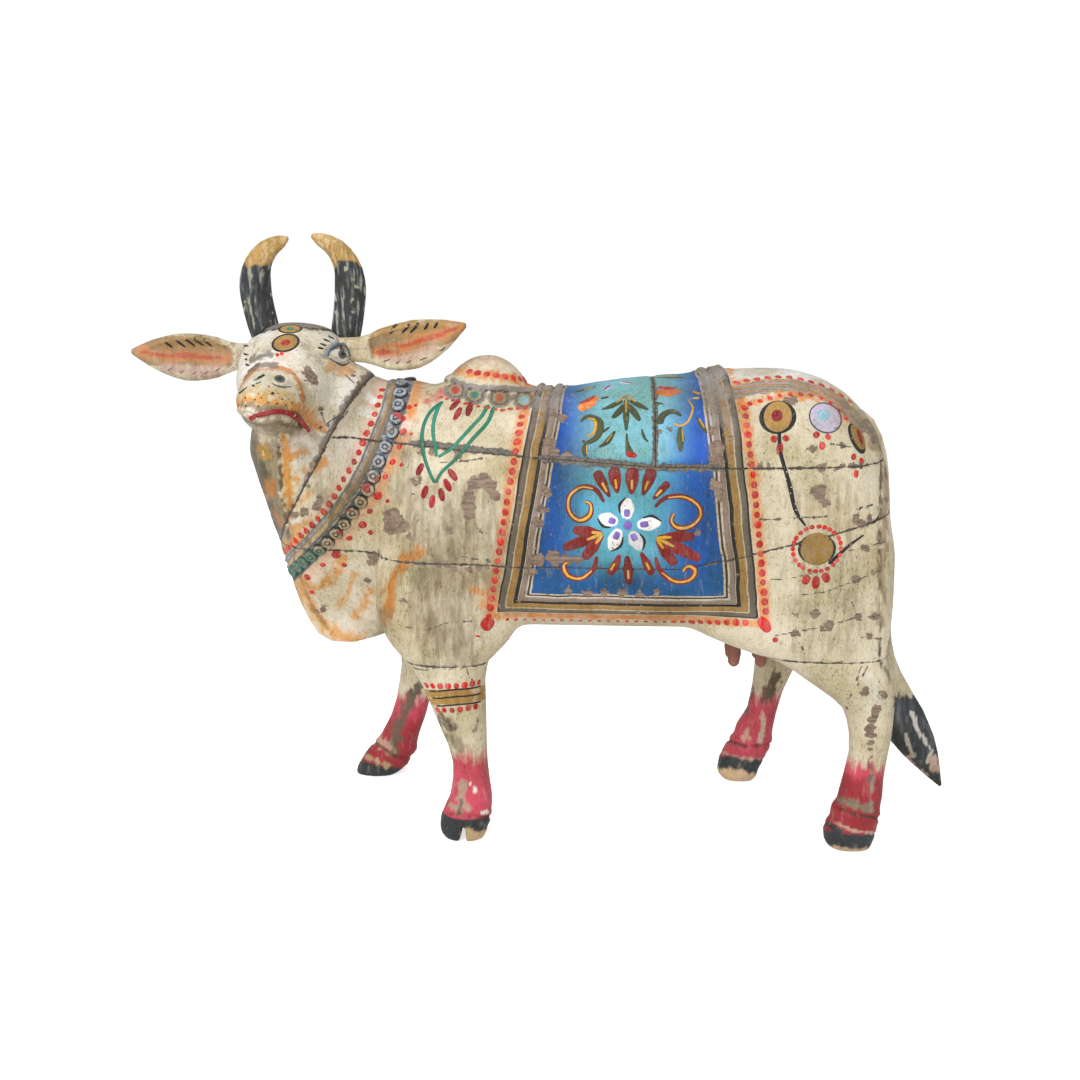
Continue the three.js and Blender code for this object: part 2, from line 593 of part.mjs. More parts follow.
// Pegs that hold the boards, the head and the legs
const upright = { direction: alongZ, diameter: boardPegDiameter, length: boardPegLength };
const neckPeg = { direction: headNormal, diameter: neckPegDiameter, length: neckPegLength };
const onJoint = (x, line) => new THREE.Vector3(x, 0, line(x));
const onNeck = (down) => headJointTop.clone().addScaledVector(headAcross, -down);
const pegs = {
  peg_lower_front: { ...upright, centre: onJoint(lowerPegX.front, lowerJoint) },
  peg_lower_rear: { ...upright, centre: onJoint(lowerPegX.rear, lowerJoint) },
  peg_upper_front: { ...upright, centre: onJoint(upperPegX.front, upperJoint) },
  peg_upper_rear: { ...upright, centre: onJoint(upperPegX.rear, upperJoint) },
  peg_back_blocks: {
    centre: new THREE.Vector3(backJointX, 0, upperJointHeight + backPegRise),
    direction: alongX, diameter: boardPegDiameter, length: boardPegLength,
  },
  peg_neck_upper: { ...neckPeg, centre: onNeck(13) },
  peg_neck_lower: { ...neckPeg, centre: onNeck(58) },
};
for (const [name, leg] of Object.entries(legs)) pegs[`peg_leg_${name}`] = legPegPlace(leg);

const bores = Object.values(pegs).map(bore);
const cutBy = (body, tools) => tools.reduce((rest, tool) => rest.subtract(tool), body);
const sides = ['left', 'right'];

const teatSeats = Object.values(teatPlaces).flatMap((place) => [teatPeg(place, bore), teat(place, glueLine)]);
const woodenBody = cutBy(carvedBody, [...bores, tailTenon(bore), ...teatSeats]);
const headBody = skull().add(jaw()).add(neckRoot()).add(wholeTorso).intersect(headSide(glueLine / 2));
const hornSeats = sides.flatMap((side) => [hornTenon(side, bore)]);

const headGrown = skull(glueLine).add(neckRoot(glueLine));
const torsoGrown = torso(torsoStations[0], torsoStations.at(-1), glueLine);
const pieces = {};
for (const [name, region] of Object.entries(regions)) {
  pieces[name] = woodenBody.intersect(region);
}
pieces.head = cutBy(headBody, [...bores, ...hornSeats, ...sides.map((side) => earTenon(side, bore))]);
for (const side of sides) {
  pieces[`horn_${side}`] = horn(side).subtract(headGrown).add(hornTenon(side));
  pieces[`ear_${side}`] = cutBy(earSweep(side), [
    earSweep(side, { shrink: 3, depth: earHollowDepth }), headGrown, horn(side, glueLine),
  ]).add(earTenon(side));
}
for (const [name, leg] of Object.entries(legs)) pieces[`leg_${name}`] = cutBy(legSolid(leg), bores);
pieces.leg_front_left = pieces.leg_front_left.subtract(cleft());
pieces.tail = tailSweep().subtract(torsoGrown).add(tailTenon());
for (const [name, place] of Object.entries(teatPlaces)) pieces[`teat_${name}`] = teat(place).add(teatPeg(place));
for (const [name, peg] of Object.entries(pegs)) pieces[name] = rod(peg);

// Finishes: cream paint on the boards, black horns and tuft, bare wood pegs
const finishes = {
  cream: new THREE.MeshStandardMaterial({ color: '#ddd2af', roughness: 0.75, metalness: 0 }),
  horn: new THREE.MeshStandardMaterial({ color: '#2f3237', roughness: 0.55, metalness: 0 }),
  pink: new THREE.MeshStandardMaterial({ color: '#a8766a', roughness: 0.7, metalness: 0 }),
  wood: new THREE.MeshStandardMaterial({ color: '#a57c52', roughness: 0.8, metalness: 0 }),
};

function finishOf(name) {
  if (name.startsWith('horn')) return finishes.horn;
  if (name.startsWith('teat')) return finishes.pink;
  return name.startsWith('peg') ? finishes.wood : finishes.cream;
}

function toMesh(name, body) {
  const { vertProperties, triVerts } = body.getMesh();
  const geometry = new THREE.BufferGeometry();
  geometry.setAttribute('position', new THREE.BufferAttribute(vertProperties, 3));
  geometry.setIndex(new THREE.BufferAttribute(triVerts, 1));
  geometry.computeVertexNormals();
  const mesh = new THREE.Mesh(geometry, finishOf(name));
  mesh.name = name;
  return mesh;
}

// The cow stands on z = 0, with the middle of its bounding box at the origin
const standing = new THREE.Group();
for (const [name, body] of Object.entries(pieces)) standing.add(toMesh(name, body));
const bounds = new THREE.Box3().setFromObject(standing);
const middle = bounds.getCenter(new THREE.Vector3());
standing.position.set(-middle.x, -middle.y, -bounds.min.z);

const cow = new THREE.Group();
cow.add(standing);
export default cow;
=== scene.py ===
"""A painted wooden cow: four glued boards, pegged legs, a turned head, and folk ornament in brush paint."""
import math
import random

import bmesh
import bpy
import numpy as np
from mathutils import Matrix, Vector
from mathutils import noise as perlin
from mathutils.bvhtree import BVHTree


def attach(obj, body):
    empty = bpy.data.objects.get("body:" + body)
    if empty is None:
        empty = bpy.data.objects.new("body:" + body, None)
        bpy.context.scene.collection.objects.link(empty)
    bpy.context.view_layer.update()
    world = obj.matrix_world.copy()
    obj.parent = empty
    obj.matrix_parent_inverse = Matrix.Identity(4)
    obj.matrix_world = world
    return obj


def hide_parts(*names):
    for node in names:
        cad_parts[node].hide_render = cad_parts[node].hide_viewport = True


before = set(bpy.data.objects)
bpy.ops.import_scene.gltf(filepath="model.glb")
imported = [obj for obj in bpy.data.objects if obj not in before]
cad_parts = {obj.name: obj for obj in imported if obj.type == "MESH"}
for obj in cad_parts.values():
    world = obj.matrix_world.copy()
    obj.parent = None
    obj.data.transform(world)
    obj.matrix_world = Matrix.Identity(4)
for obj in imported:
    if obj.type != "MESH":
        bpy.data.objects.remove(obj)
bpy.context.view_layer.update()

# The carved block: four boards and four legs of solid wood, glued and pegged, then carved as one.
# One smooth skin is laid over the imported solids, carved by moving its points, and sawn apart at the
# joints, so that the grain of the carving runs on from board to board.
mm = 0.001
MIDDLE = 13.95 * mm
HALF_GAP, ON_JOINT = 0.15 * mm, 0.04 * mm
BOARDS = ["body_lower", "body_middle", "back_block_front", "back_block_rear"]
LEGS = ["leg_front_left", "leg_front_right", "leg_rear_left", "leg_rear_right"]
PEGS = sorted(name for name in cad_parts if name.startswith("peg_"))
TEATS = sorted(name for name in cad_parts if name.startswith("teat_"))
FRONT_LEG_JOINT, REAR_LEG_JOINT = 117 * mm, 124 * mm
LOWER_BEND_X, BACK_JOINT_X = 76.56 * mm, 59.56 * mm
LOWER_JOINT_Z, LOWER_RISE = 179.5 * mm, 0.245
UPPER_JOINT_Z, UPPER_RISE = 238 * mm, 0.065
NECK_TOP = Vector((-109.44, 0, 284)) * mm
NECK_WAY = Vector((-0.8528, 0, 0.5223))


def lower_joint(x):
    """Height of the glue line over the lower board, which rises behind its bend."""
    return LOWER_JOINT_Z + LOWER_RISE * np.maximum(0, x - LOWER_BEND_X)


def upper_joint(x):
    """Height of the glue line under the back boards, which rises forwards."""
    return UPPER_JOINT_Z + UPPER_RISE * np.maximum(0, BACK_JOINT_X - x)


def solids_of(nodes, grow=0.0):
    """The nodes' own solids in one bmesh, their doubles merged, grown outwards."""
    bm = bmesh.new()
    for name in nodes:
        bm.from_mesh(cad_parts[name].data)
    bmesh.ops.remove_doubles(bm, verts=bm.verts, dist=1e-6)
    bm.normal_update()
    for v in bm.verts:
        v.co += v.normal * grow
    return bm


def mesh_of(bm, name):
    mesh = bpy.data.meshes.new(name)
    bm.to_mesh(mesh)
    bm.free()
    return mesh


def lap_joints(bm, lap=1 * mm):
    """Stretch each board over its glue lines, so that the skin closes across them."""
    def step(distance):
        return math.copysign(lap, distance) if abs(abs(distance) - HALF_GAP) < ON_JOINT else 0

    for v in bm.verts:
        x, _, z = v.co
        up = step(z - lower_joint(x)) + step(z - upper_joint(x))
        up += step(z - FRONT_LEG_JOINT) + step(z - REAR_LEG_JOINT)
        back = step(x - BACK_JOINT_X) if z > upper_joint(x) - lap else 0
        v.co -= Vector((back, 0, up)) + NECK_WAY * step((v.co - NECK_TOP).dot(NECK_WAY))


def placed(name, data):
    """A new object at the origin, linked to the scene."""
    made = bpy.data.objects.new(name, data)
    bpy.context.scene.collection.objects.link(made)
    return made


def worked(mesh, *steps):
    """The mesh after a row of modifiers, each given as its kind and its settings."""
    blank = placed("blank", mesh)
    for kind, settings in steps:
        modifier = blank.modifiers.new(kind, kind)
        for key, value in settings.items():
            setattr(modifier, key, value)
    done = bpy.data.meshes.new_from_object(blank.evaluated_get(bpy.context.evaluated_depsgraph_get()))
    bpy.data.objects.remove(blank)
    return done


def points(mesh):
    co = np.zeros(len(mesh.vertices) * 3)
    mesh.vertices.foreach_get("co", co)
    return co.reshape(-1, 3)


def set_points(mesh, co):
    mesh.vertices.foreach_set("co", co.ravel())
    mesh.update()


def normals(mesh):
    out = np.zeros(len(mesh.vertices) * 3)
    mesh.vertices.foreach_get("normal", out)
    return out.reshape(-1, 3)


def smooth_faces(mesh):
    mesh.polygons.foreach_set("use_smooth", [True] * len(mesh.polygons))


def ease(x, low, high):
    """0 up to the low value, 1 from the high one on, and an even rise between."""
    t = np.clip((x - low) / (high - low), 0, 1)
    return t * t * (3 - 2 * t)


def skin_over(bm, voxel, fine, broad=0, where=None):
    """One skin round closed solids, sanded a little all over and more broadly where asked."""
    skin = worked(mesh_of(bm, "rough"), ("REMESH", {"mode": "VOXEL", "voxel_size": voxel}))
    fair = worked(skin, ("SMOOTH", {"factor": 0.5, "iterations": fine}))
    if broad:
        smooth = worked(skin, ("SMOOTH", {"factor": 0.5, "iterations": broad}))
        co = points(fair)
        share = where(co)[:, None]
        set_points(fair, co + share * (points(smooth) - co))
    return fair


BELLY = (105 * mm, 135 * mm)
carcass = solids_of(BOARDS + LEGS + ["head"])
lap_joints(carcass)
plugs = mesh_of(solids_of(PEGS, grow=0.9 * mm), "plugs")
carcass.from_mesh(plugs)
block = skin_over(carcass, voxel=1.2 * mm, fine=10, broad=140, where=lambda co: ease(co[:, 2], *BELLY))

# Saws and bits: a slab for each board and leg, and every peg, teat and the tail as a bit.
# FAR and WIDE are lengths in metres that reach past the cow on every side.
FAR, WIDE = 0.4, 0.3
LEG_INSIDE_NEAR, LEG_INSIDE_FAR = -7.5 * mm, 35.5 * mm


def slab(outline, low=-WIDE, high=WIDE):
    """A closed prism along Y over an outline of X and Z."""
    bm = bmesh.new()
    face = bm.faces.new([bm.verts.new((x, low, z)) for x, z in outline])
    far = bmesh.ops.extrude_face_region(bm, geom=[face])["geom"]
    bmesh.ops.translate(bm, vec=(0, high - low, 0),
                        verts=[v for v in far if isinstance(v, bmesh.types.BMVert)])
    bmesh.ops.recalc_face_normals(bm, faces=bm.faces)
    return bm


def cut(mesh, *cuts):
    """The mesh after each cut, given as INTERSECT or DIFFERENCE and a bmesh."""
    saws = [(way, placed("saw", mesh_of(bm, "saw"))) for way, bm in cuts]
    steps = [("BOOLEAN", {"operation": way, "solver": "MANIFOLD", "object": saw}) for way, saw in saws]
    done = worked(mesh, *steps)
    for _, saw in saws:
        bpy.data.objects.remove(saw)
    return done


lower_line = [(x, lower_joint(x)) for x in (-FAR, LOWER_BEND_X, FAR)]
upper_line = [(x, upper_joint(x)) for x in (-FAR, BACK_JOINT_X, WIDE)]


def shifted(line, up):
    return [(x, z + up) for x, z in line]


above_lower = shifted(lower_line[:2] + [(WIDE, lower_joint(WIDE))], HALF_GAP)
slabs = {
    "body_lower": shifted(lower_line, -HALF_GAP) + [(FAR, -FAR), (-FAR, -FAR)],
    "body_middle": above_lower + shifted(upper_line, -HALF_GAP)[::-1],
    "back_block_front": shifted(upper_line[:2], HALF_GAP) + [(BACK_JOINT_X, FAR), (-FAR, FAR)],
    "back_block_rear": shifted(upper_line[1:], HALF_GAP) + [(WIDE, FAR), (BACK_JOINT_X, FAR)],
}
slabs["back_block_front"] = [(min(x, BACK_JOINT_X - HALF_GAP), z) for x, z in slabs["back_block_front"]]
slabs["back_block_rear"] = [(max(x, BACK_JOINT_X + HALF_GAP), z) for x, z in slabs["back_block_rear"]]
# Each leg's room: its X and its Y, from and to, and the height of its joint
leg_rooms = {
    "leg_front_left": (-0.25, 0.03, -0.2, LEG_INSIDE_NEAR, FRONT_LEG_JOINT),
    "leg_front_right": (-0.25, 0.03, LEG_INSIDE_FAR, 0.2, FRONT_LEG_JOINT),
    "leg_rear_left": (0.05, WIDE, -0.2, LEG_INSIDE_NEAR, REAR_LEG_JOINT),
    "leg_rear_right": (0.05, WIDE, LEG_INSIDE_FAR, 0.2, REAR_LEG_JOINT),
}


def leg_room(name, grow):
    """Everything below a leg's joint on its own side; grow is 1 for the body's cut and -1 for the leg's."""
    x0, x1, y0, y1, top = leg_rooms[name]
    top += grow * HALF_GAP
    return slab([(x0, -0.05), (x1, -0.05), (x1, top), (x0, top)], y0, y1)


def neck_side(grow):
    """Everything on the head's side of the neck joint."""
    along = Vector((-NECK_WAY.z, 0, NECK_WAY.x))
    corners = [(-FAR, 0), (FAR, 0), (FAR, FAR), (-FAR, FAR)]
    spots = [NECK_TOP + along * a + NECK_WAY * (b + grow * HALF_GAP) for a, b in corners]
    return slab([(p.x, p.z) for p in spots])


def bits():
    return ("DIFFERENCE", solids_of(PEGS + TEATS + ["tail"], grow=0.4 * mm))


# Sight lines: marks of chisel and brush are placed in millimetres on the near flank, as the X and Z at
# which the camera's line of sight crosses it. The far side carries the same marks, mirrored.
EYE = Vector((26.1, -646.1, 335)) * mm
FLANK_Y = -51 * mm


def sight(co):
    """Where the line of sight to each point crosses the flank's plane, in millimetres."""
    share = (FLANK_Y - EYE.y) / (co[:, 1] - EYE.y)
    x = EYE.x + (co[:, 0] - EYE.x) * share
    z = EYE.z + (co[:, 2] - EYE.z) * share
    return np.stack([x, z], axis=1) / mm


def on_flank(co):
    """The same, with the far half of the body folded on to the near half."""
    folded = co.copy()
    folded[:, 1] = MIDDLE - np.abs(co[:, 1] - MIDDLE)
    return sight(folded)


def from_line(spots, line):
    """Distance of each spot from a chain of points, positive on the left of its way."""
    best = np.full(len(spots), 1e9)
    for start, end in zip(line[:-1], line[1:]):
        start, way = np.array(start, float), np.array(end, float) - np.array(start, float)
        t = np.clip((spots - start) @ way / (way @ way), 0, 1)
        off = spots - start - t[:, None] * way
        distance = np.hypot(off[:, 0], off[:, 1])
        sign = np.where(way[0] * off[:, 1] < way[1] * off[:, 0], -1, 1)
        best = np.where(distance < np.abs(best), distance * sign, best)
    return best


def near_line(spots, line):
    """Distance of each spot from a chain of points, or from a single one."""
    return np.abs(from_line(spots, line if len(line) > 1 else [line[0], (line[0][0] + 0.01, line[0][1])]))


def oval(spots, centre, half, turn=0.0):
    """1 on the rim of an oval, 0 in its middle."""
    c, s = math.cos(math.radians(turn)), math.sin(math.radians(turn))
    x, z = spots[:, 0] - centre[0], spots[:, 1] - centre[1]
    return np.hypot((c * x + s * z) / half[0], (c * z - s * x) / half[1])


# Saddle cloth and collar in relief: mouldings whose height follows the distance from the cloth's edge
# or from the collar's middle line, and a groove pressed in along each joint.
CLOTH_TOP, CLOTH_HEM = 288, 151
CLOTH_FRONT, FRONT_LEAN = -8.44, 0.1606
CLOTH_REAR, REAR_LEAN = 102.56, 0.1314
SIDE_BORDER, HEM_BORDER = 18, 13
COLLAR = [
    (-88, 290), (-90, 283), (-94, 269.5), (-100.5, 254.5), (-106.5, 240.5), (-114, 227.5), (-125.5, 212),
    (-138, 198.5), (-150, 186.5), (-157, 180),
]
BEAD_LINE = [
    (-82, 284), (-83.5, 275.5), (-85.5, 265), (-88, 257.5), (-95, 243), (-103, 224.5), (-113, 210),
    (-127.5, 193.5), (-143.5, 180.5), (-150, 175),
]
BORDER_PROFILE = [
    (-3, 0), (-0.5, -0.6), (0.6, 0.2), (2.6, 1.3), (4.6, 0.6), (5, 0.2), (8.6, 0.2), (9.4, -1),
    (10.6, -1), (11.3, 0.1), (13, 0.9), (15, 0.6), (15.8, -0.6), (16.6, -0.5), (17.4, 0), (18.4, -0.5),
    (30, -0.4), (50, 0),
]
COLLAR_PROFILE = [
    (-2.5, 0), (-0.4, -0.7), (1.2, 0.9), (2.7, -0.5), (3.4, -0.3), (4.8, 1), (6.4, -0.7), (8, -0.4),
    (13, -0.4), (14.5, 0),
]
HUMP_RIM = [(-57, 288), (-52.5, 286), (-46, 283.5), (-38, 282.5), (-24, 282), (-14, 281.5), (-5, 281)]
PENDANTS = [(-52, 281), (-41.5, 278.5), (-27.5, 277), (-14, 276)]
PENDANT_HALF = (6, 5.2)
DEWLAP_END = -0.1
THROAT_LINE = [(-150, 256), (-152, 237.5), (-152.5, 222.5), (-151, 210.5), (-149.5, 194)]


def cloth_inset(co):
    """Distance inwards from the cloth's outer edge, in the measure of its side borders."""
    x, z = co[:, 0] / mm, co[:, 2] / mm
    front = x - CLOTH_FRONT + FRONT_LEAN * (CLOTH_TOP - z)
    back = CLOTH_REAR + REAR_LEAN * (CLOTH_TOP - z) - x
    return np.minimum(np.minimum(front, back), (z - CLOTH_HEM) * SIDE_BORDER / HEM_BORDER)


def seam_distance(co):
    """Distance in millimetres from the nearest glue line, less the half width of its worn band.

    The bands are wide over the shoulder and under the blanket, and no leg joint crosses the dewlap."""
    x, _, z = co.T
    on_top = z > upper_joint(x) + 1 * mm
    shoulder = ease(x, -0.09, -0.075) * (1 - ease(x, -0.026, -0.018))
    blanket = ease(x, -0.012, -0.002) * (1 - ease(x, 0.092, 0.1))
    seams = [
        (np.abs(z - lower_joint(x)), 0.25),
        (np.abs(z - upper_joint(x) - 1.1 * mm * shoulder), 0.35 + 1.5 * shoulder + 1.5 * blanket),
        (np.where(on_top, np.abs(x - BACK_JOINT_X), 1), 0.4 + 1.0 * blanket),
        (np.where(x < 0, np.abs(z - FRONT_LEG_JOINT) + (x < DEWLAP_END), np.abs(z - REAR_LEG_JOINT)), 0.2),
        (np.abs((x - NECK_TOP.x) * NECK_WAY.x + (z - NECK_TOP.z) * NECK_WAY.z), 0.3),
    ]
    return np.min([distance / mm - half for distance, half in seams], axis=0)


def neck_share(co):
    """1 on the neck and chest, where the collar lies, and 0 behind them."""
    return 1 - ease(co[:, 0], -0.07, -0.06)


def hump_share(co):
    """1 at the height of the hump's garland, and 0 below it."""
    return ease(co[:, 2], 0.25, 0.26)


# Grooves of the legs, of the tail's root and of the throat. Each has its side, which is 1 near and
# -1 far, its depth, how high the flesh swells beside it, and its line.
GROOVES = [
    (1, 0.9, 0.8, [(-61, 25), (-51.5, 24), (-41.5, 23), (-33, 24)]),
    (1, 0.9, 0.8, [(172, 35), (183.5, 30), (200, 28.5)]),
    (1, 0.4, 0.3, [(164, 25), (182, 19.5), (198, 18.5)]),
    (-1, 0.8, 0.8, [(-104, 70), (-97.5, 65), (-92, 61), (-85, 60), (-78, 65)]),
    (-1, 0.8, 0.8, [(103, 78), (117, 72.5), (132, 75)]),
    (-1, 0.5, 0.3, [(100, 69.5), (117, 64.5), (129, 65)]),
    (1, 0.9, 0.5,
     [(179, 262.5), (182.5, 253), (183.5, 240.5), (184, 225.5), (185, 205), (186.5, 186), (188, 166.5),
      (189.5, 146.5), (190.5, 130.5)]),
    (1, 0.7, 0.4, [(190, 128), (197.5, 117.5), (202, 106)]), (1, 0.8, 0.9, THROAT_LINE),
]


def carve(mesh):
    """Move the skin's points along their normals by the relief at each place."""
    co, out = points(mesh), normals(mesh)
    flank = on_flank(co)
    rise = np.interp(cloth_inset(co), *zip(*BORDER_PROFILE))
    collar = from_line(flank, COLLAR)
    rise += neck_share(co) * np.interp(collar, *zip(*COLLAR_PROFILE))
    top = hump_share(co)
    rise += top * np.interp(near_line(flank, HUMP_RIM), (0, 1.6, 2.6, 4), (1.3, 0.9, -0.5, 0))
    for x, z in PENDANTS:
        lobe = oval(flank, (x, z), PENDANT_HALF)
        rise += top * (flank[:, 1] < z + 3) * np.interp(lobe, (0, 0.5, 0.65, 0.9, 1.1, 1.3),
                                                        (0.7, 0.5, -0.3, 0.7, 0.4, 0))
    rise -= 0.5 * (1 - ease(seam_distance(co), 0, 1.6))
    for side, deep, swell, groove in GROOVES:
        there = side * (MIDDLE - co[:, 1]) > 0
        away = near_line(sight(co), groove)
        rise += there * np.interp(away, (0, 0.9, 2.6, 6), (-deep, swell * 0.3, swell, 0))
    set_points(mesh, co + out * rise[:, None] * mm)


carve(block)

carved = {}
for name, outline in slabs.items():
    cuts = [("INTERSECT", slab(outline)), ("DIFFERENCE", neck_side(-1))]
    if name == "body_lower":
        cuts += [("DIFFERENCE", leg_room(leg, 1)) for leg in LEGS]
    carved[name] = cut(block, *cuts, bits())
for name in LEGS:
    carved[name] = cut(block, ("INTERSECT", leg_room(name, -1)), bits())

# The head: a finer skin over the head and the chest behind it, so that the neck runs on across its joint.
# Its face is carved on its left half and folded over the middle plane, because both halves are alike.
SKULL = Vector((-150.44, 5.95, 289)) * mm
FACE_LEFT = np.array((0.9976, -0.0029, -0.0682))
EYE_PLACE, EYE_HALF = (-116.2, 300), (6.6, 4.7)
NOSTRIL, NOSTRIL_HALF = (-150.3, 286.8), (4, 2.8)
MUZZLE_RIM = [
    (-163, 292.5), (-157, 294), (-149.5, 293.5), (-142.5, 290), (-138.5, 282.5), (-138, 275), (-138, 267),
]
LIPS = [
    (-167.5, 264.5), (-161.5, 267), (-153.5, 268.5), (-145.5, 267.5), (-140, 264), (-137, 260),
    (-135, 257),
]
CROWN = [
    (-167, 310.5), (-158.5, 314.5), (-148, 316.5), (-135.5, 316.5), (-122.5, 315.5), (-115, 314),
    (-110, 311), (-105.5, 307),
]


def fold_face(co):
    """The points with the right half of the head folded on to its left half."""
    side = (co - np.array(SKULL)) @ FACE_LEFT
    return co + np.outer(np.abs(side) - side, FACE_LEFT)


def neck_distance(co):
    """Distance in millimetres from the neck joint."""
    return np.abs((co - np.array(NECK_TOP)) @ np.array(NECK_WAY)) / mm


def carve_head(mesh):
    """Eye, brow, muzzle, nostril, lips, cheek, crown and throat, as relief on the head's skin."""
    co, out = points(mesh), normals(mesh)
    face = sight(fold_face(co))
    front = ease(-co[:, 1], -0.012, 0.0)
    lid = oval(face, EYE_PLACE, EYE_HALF, -6)
    rise = np.interp(lid, (0, 0.5, 0.8, 1.0, 1.25, 1.5), (0.9, 0.6, -0.7, 0.5, 0.3, 0))
    brow = near_line(face, [(-126, 301), (-121, 305.5), (-115, 307.5), (-109, 304)])
    rise += np.interp(brow, (0, 2, 4), (0.7, 0.3, 0))
    rim = from_line(face, MUZZLE_RIM)
    rise += front * np.interp(rim, (-4, -2, 0, 1.2, 2.2, 5), (0, 0.2, 0.8, -0.7, -0.4, 0))
    rise += front * np.interp(oval(face, NOSTRIL, NOSTRIL_HALF, -8), (0, 0.5, 0.8, 1.1, 1.5),
                              (-0.9, -0.5, 0.3, 0.5, 0))
    rise -= front * np.interp(near_line(face, [(-155.5, 285), (-152.5, 282.5), (-144, 282)]), (0, 0.5, 1.3),
                              (0.6, 0.4, 0))
    lips = from_line(face, LIPS)
    rise += front * np.interp(lips, (-4, -2.6, -1.6, -0.6, 1, 2, 3), (0, -0.2, -1.3, 0.5, 0.7, 0, 0))
    for line in ([(-126.5, 298.5), (-124, 291), (-121.5, 289)], [(-135, 283), (-131, 276), (-129, 268)]):
        rise -= np.interp(near_line(face, line), (0, 0.6, 1.6), (0.5, 0.35, 0))
    cheek = oval(face, (-121, 279), (13, 11))
    rise += front * np.interp(cheek, (0, 0.6, 1.1), (1.0, 0.7, 0))
    rise += np.interp(near_line(sight(co), CROWN), (0, 1.4, 2.2, 3.4), (0.9, 0.7, -0.3, 0)) * front
    rise += (co[:, 1] < MIDDLE) * np.interp(near_line(sight(co), THROAT_LINE), (0, 0.9, 2.6, 6),
                                            (-0.8, 0.3, 0.9, 0))
    rise -= 0.5 * (1 - ease(neck_distance(co), 0.3, 1.9))
    set_points(mesh, co + out * rise[:, None] * mm)


CHEST_END = -0.065
front_part = slab([(-FAR, -0.1), (CHEST_END, -0.1), (CHEST_END, FAR), (-FAR, FAR)])
head_solid = solids_of(["head"])
for name in BOARDS[:3]:
    piece = mesh_of(solids_of([name]), name)
    head_solid.from_mesh(cut(piece, ("INTERSECT", front_part.copy())))
lap_joints(head_solid)
head_solid.from_mesh(plugs)
head_skin = skin_over(
    head_solid, voxel=0.9 * mm, fine=45, broad=250,
    where=lambda co: ease((np.array(NECK_TOP) - co) @ np.array(NECK_WAY), -0.012, -0.002))
carve_head(head_skin)
LET_IN = ["horn_left", "horn_right", "ear_left", "ear_right"]
carved["head"] = cut(head_skin, ("INTERSECT", neck_side(1)), bits(),
                     ("DIFFERENCE", solids_of(LET_IN, grow=0.2 * mm)))
for name in LET_IN + ["tail"] + TEATS:
    carved[name] = skin_over(solids_of([name]), voxel=0.6 * mm, fine=8)

# What the paint does at each point: coloured washes, the cloth's inset, the joints, cracks and bare wood.
# Each is kept on the mesh as an attribute, so that the material can break its edges up finely.
CREAM = (0.62, 0.55, 0.39)
ORANGE, AMBER, RUST = (0.68, 0.27, 0.08), (0.66, 0.31, 0.06), (0.62, 0.24, 0.03)
ROSE, CRIMSON, WINE = (0.58, 0.07, 0.11), (0.36, 0.027, 0.04), (0.16, 0.03, 0.03)
OCHRE, TAN, UMBER = (0.40, 0.235, 0.06), (0.66, 0.47, 0.29), (0.13, 0.095, 0.065)
GREY, SLATE, ASH = (0.19, 0.165, 0.135), (0.10, 0.115, 0.13), (0.13, 0.14, 0.15)
DUST, GROUND, WHITE = (0.27, 0.22, 0.14), (0.42, 0.30, 0.21), (0.76, 0.74, 0.68)
SOOT, INK = (0.035, 0.042, 0.05), (0.05, 0.04, 0.035)
AWAY = 50.0


def between(x, a, b, c, d):
    """1 from b to c, with a soft edge from a to b and another from c to d."""
    return ease(x, a, b) * (1 - ease(x, c, d))


def over(coat, amount, colour):
    """Lay a wash over the coat, as red, green, blue and cover."""
    cover = amount + coat[:, 3] * (1 - amount)
    share = (amount / np.maximum(cover, 1e-6))[:, None]
    coat[:, :3] += share * (np.array(colour) - coat[:, :3])
    coat[:, 3] = cover


def patchy(co, across, up, shift=0.0, deep=None):
    """Soft noise from about -1 to 1 at each point, of a grain across, upwards and inwards in millimetres."""
    scale = Vector((1 / across, 1 / (deep or across), 1 / up)) / mm
    return np.array([perlin.noise(Vector(c) * scale + Vector((shift,) * 3)) for c in co]) * 1.6


def wash_all(coat, spots, rows, ragged=0.0):
    """Washes given as a line, half a width, a soft edge, a colour and an amount."""
    for line, half, soft, colour, amount in rows:
        away = near_line(spots, line) + ragged * min(2.2, 0.8 * soft)
        over(coat, amount * (1 - ease(away, half, half + soft)), colour)


def mark(mesh, spots, washes, bare=(), cracks=(), seam=None):
    """Keep the paint's fields on a mesh; a seam, crack or bare spot that it hasn't is AWAY."""
    co = points(mesh)
    seam = seam(co) if seam else np.full(len(co), AWAY)
    inset = cloth_inset(co)
    coat = np.tile(np.array(CREAM + (0.0,)), (len(co), 1))
    washes(coat, co, spots, normals(mesh))
    crack = np.min([near_line(spots, line) for line in cracks] + [np.full(len(co), AWAY)], axis=0) - 0.25
    worn = np.full(len(co), -AWAY)
    for x, z, r in bare:
        worn = np.maximum(worn, r - np.hypot(spots[:, 0] - x, spots[:, 1] - z))
    lines = np.stack([inset, seam, crack], axis=1)
    for title, kind, key, values in [
            ("coat", "FLOAT_COLOR", "color", coat), ("lines", "FLOAT_VECTOR", "vector", lines),
            ("worn", "FLOAT", "value", worn)]:
        mesh.attributes.new(title, kind, "POINT").data.foreach_set(key, values.ravel())


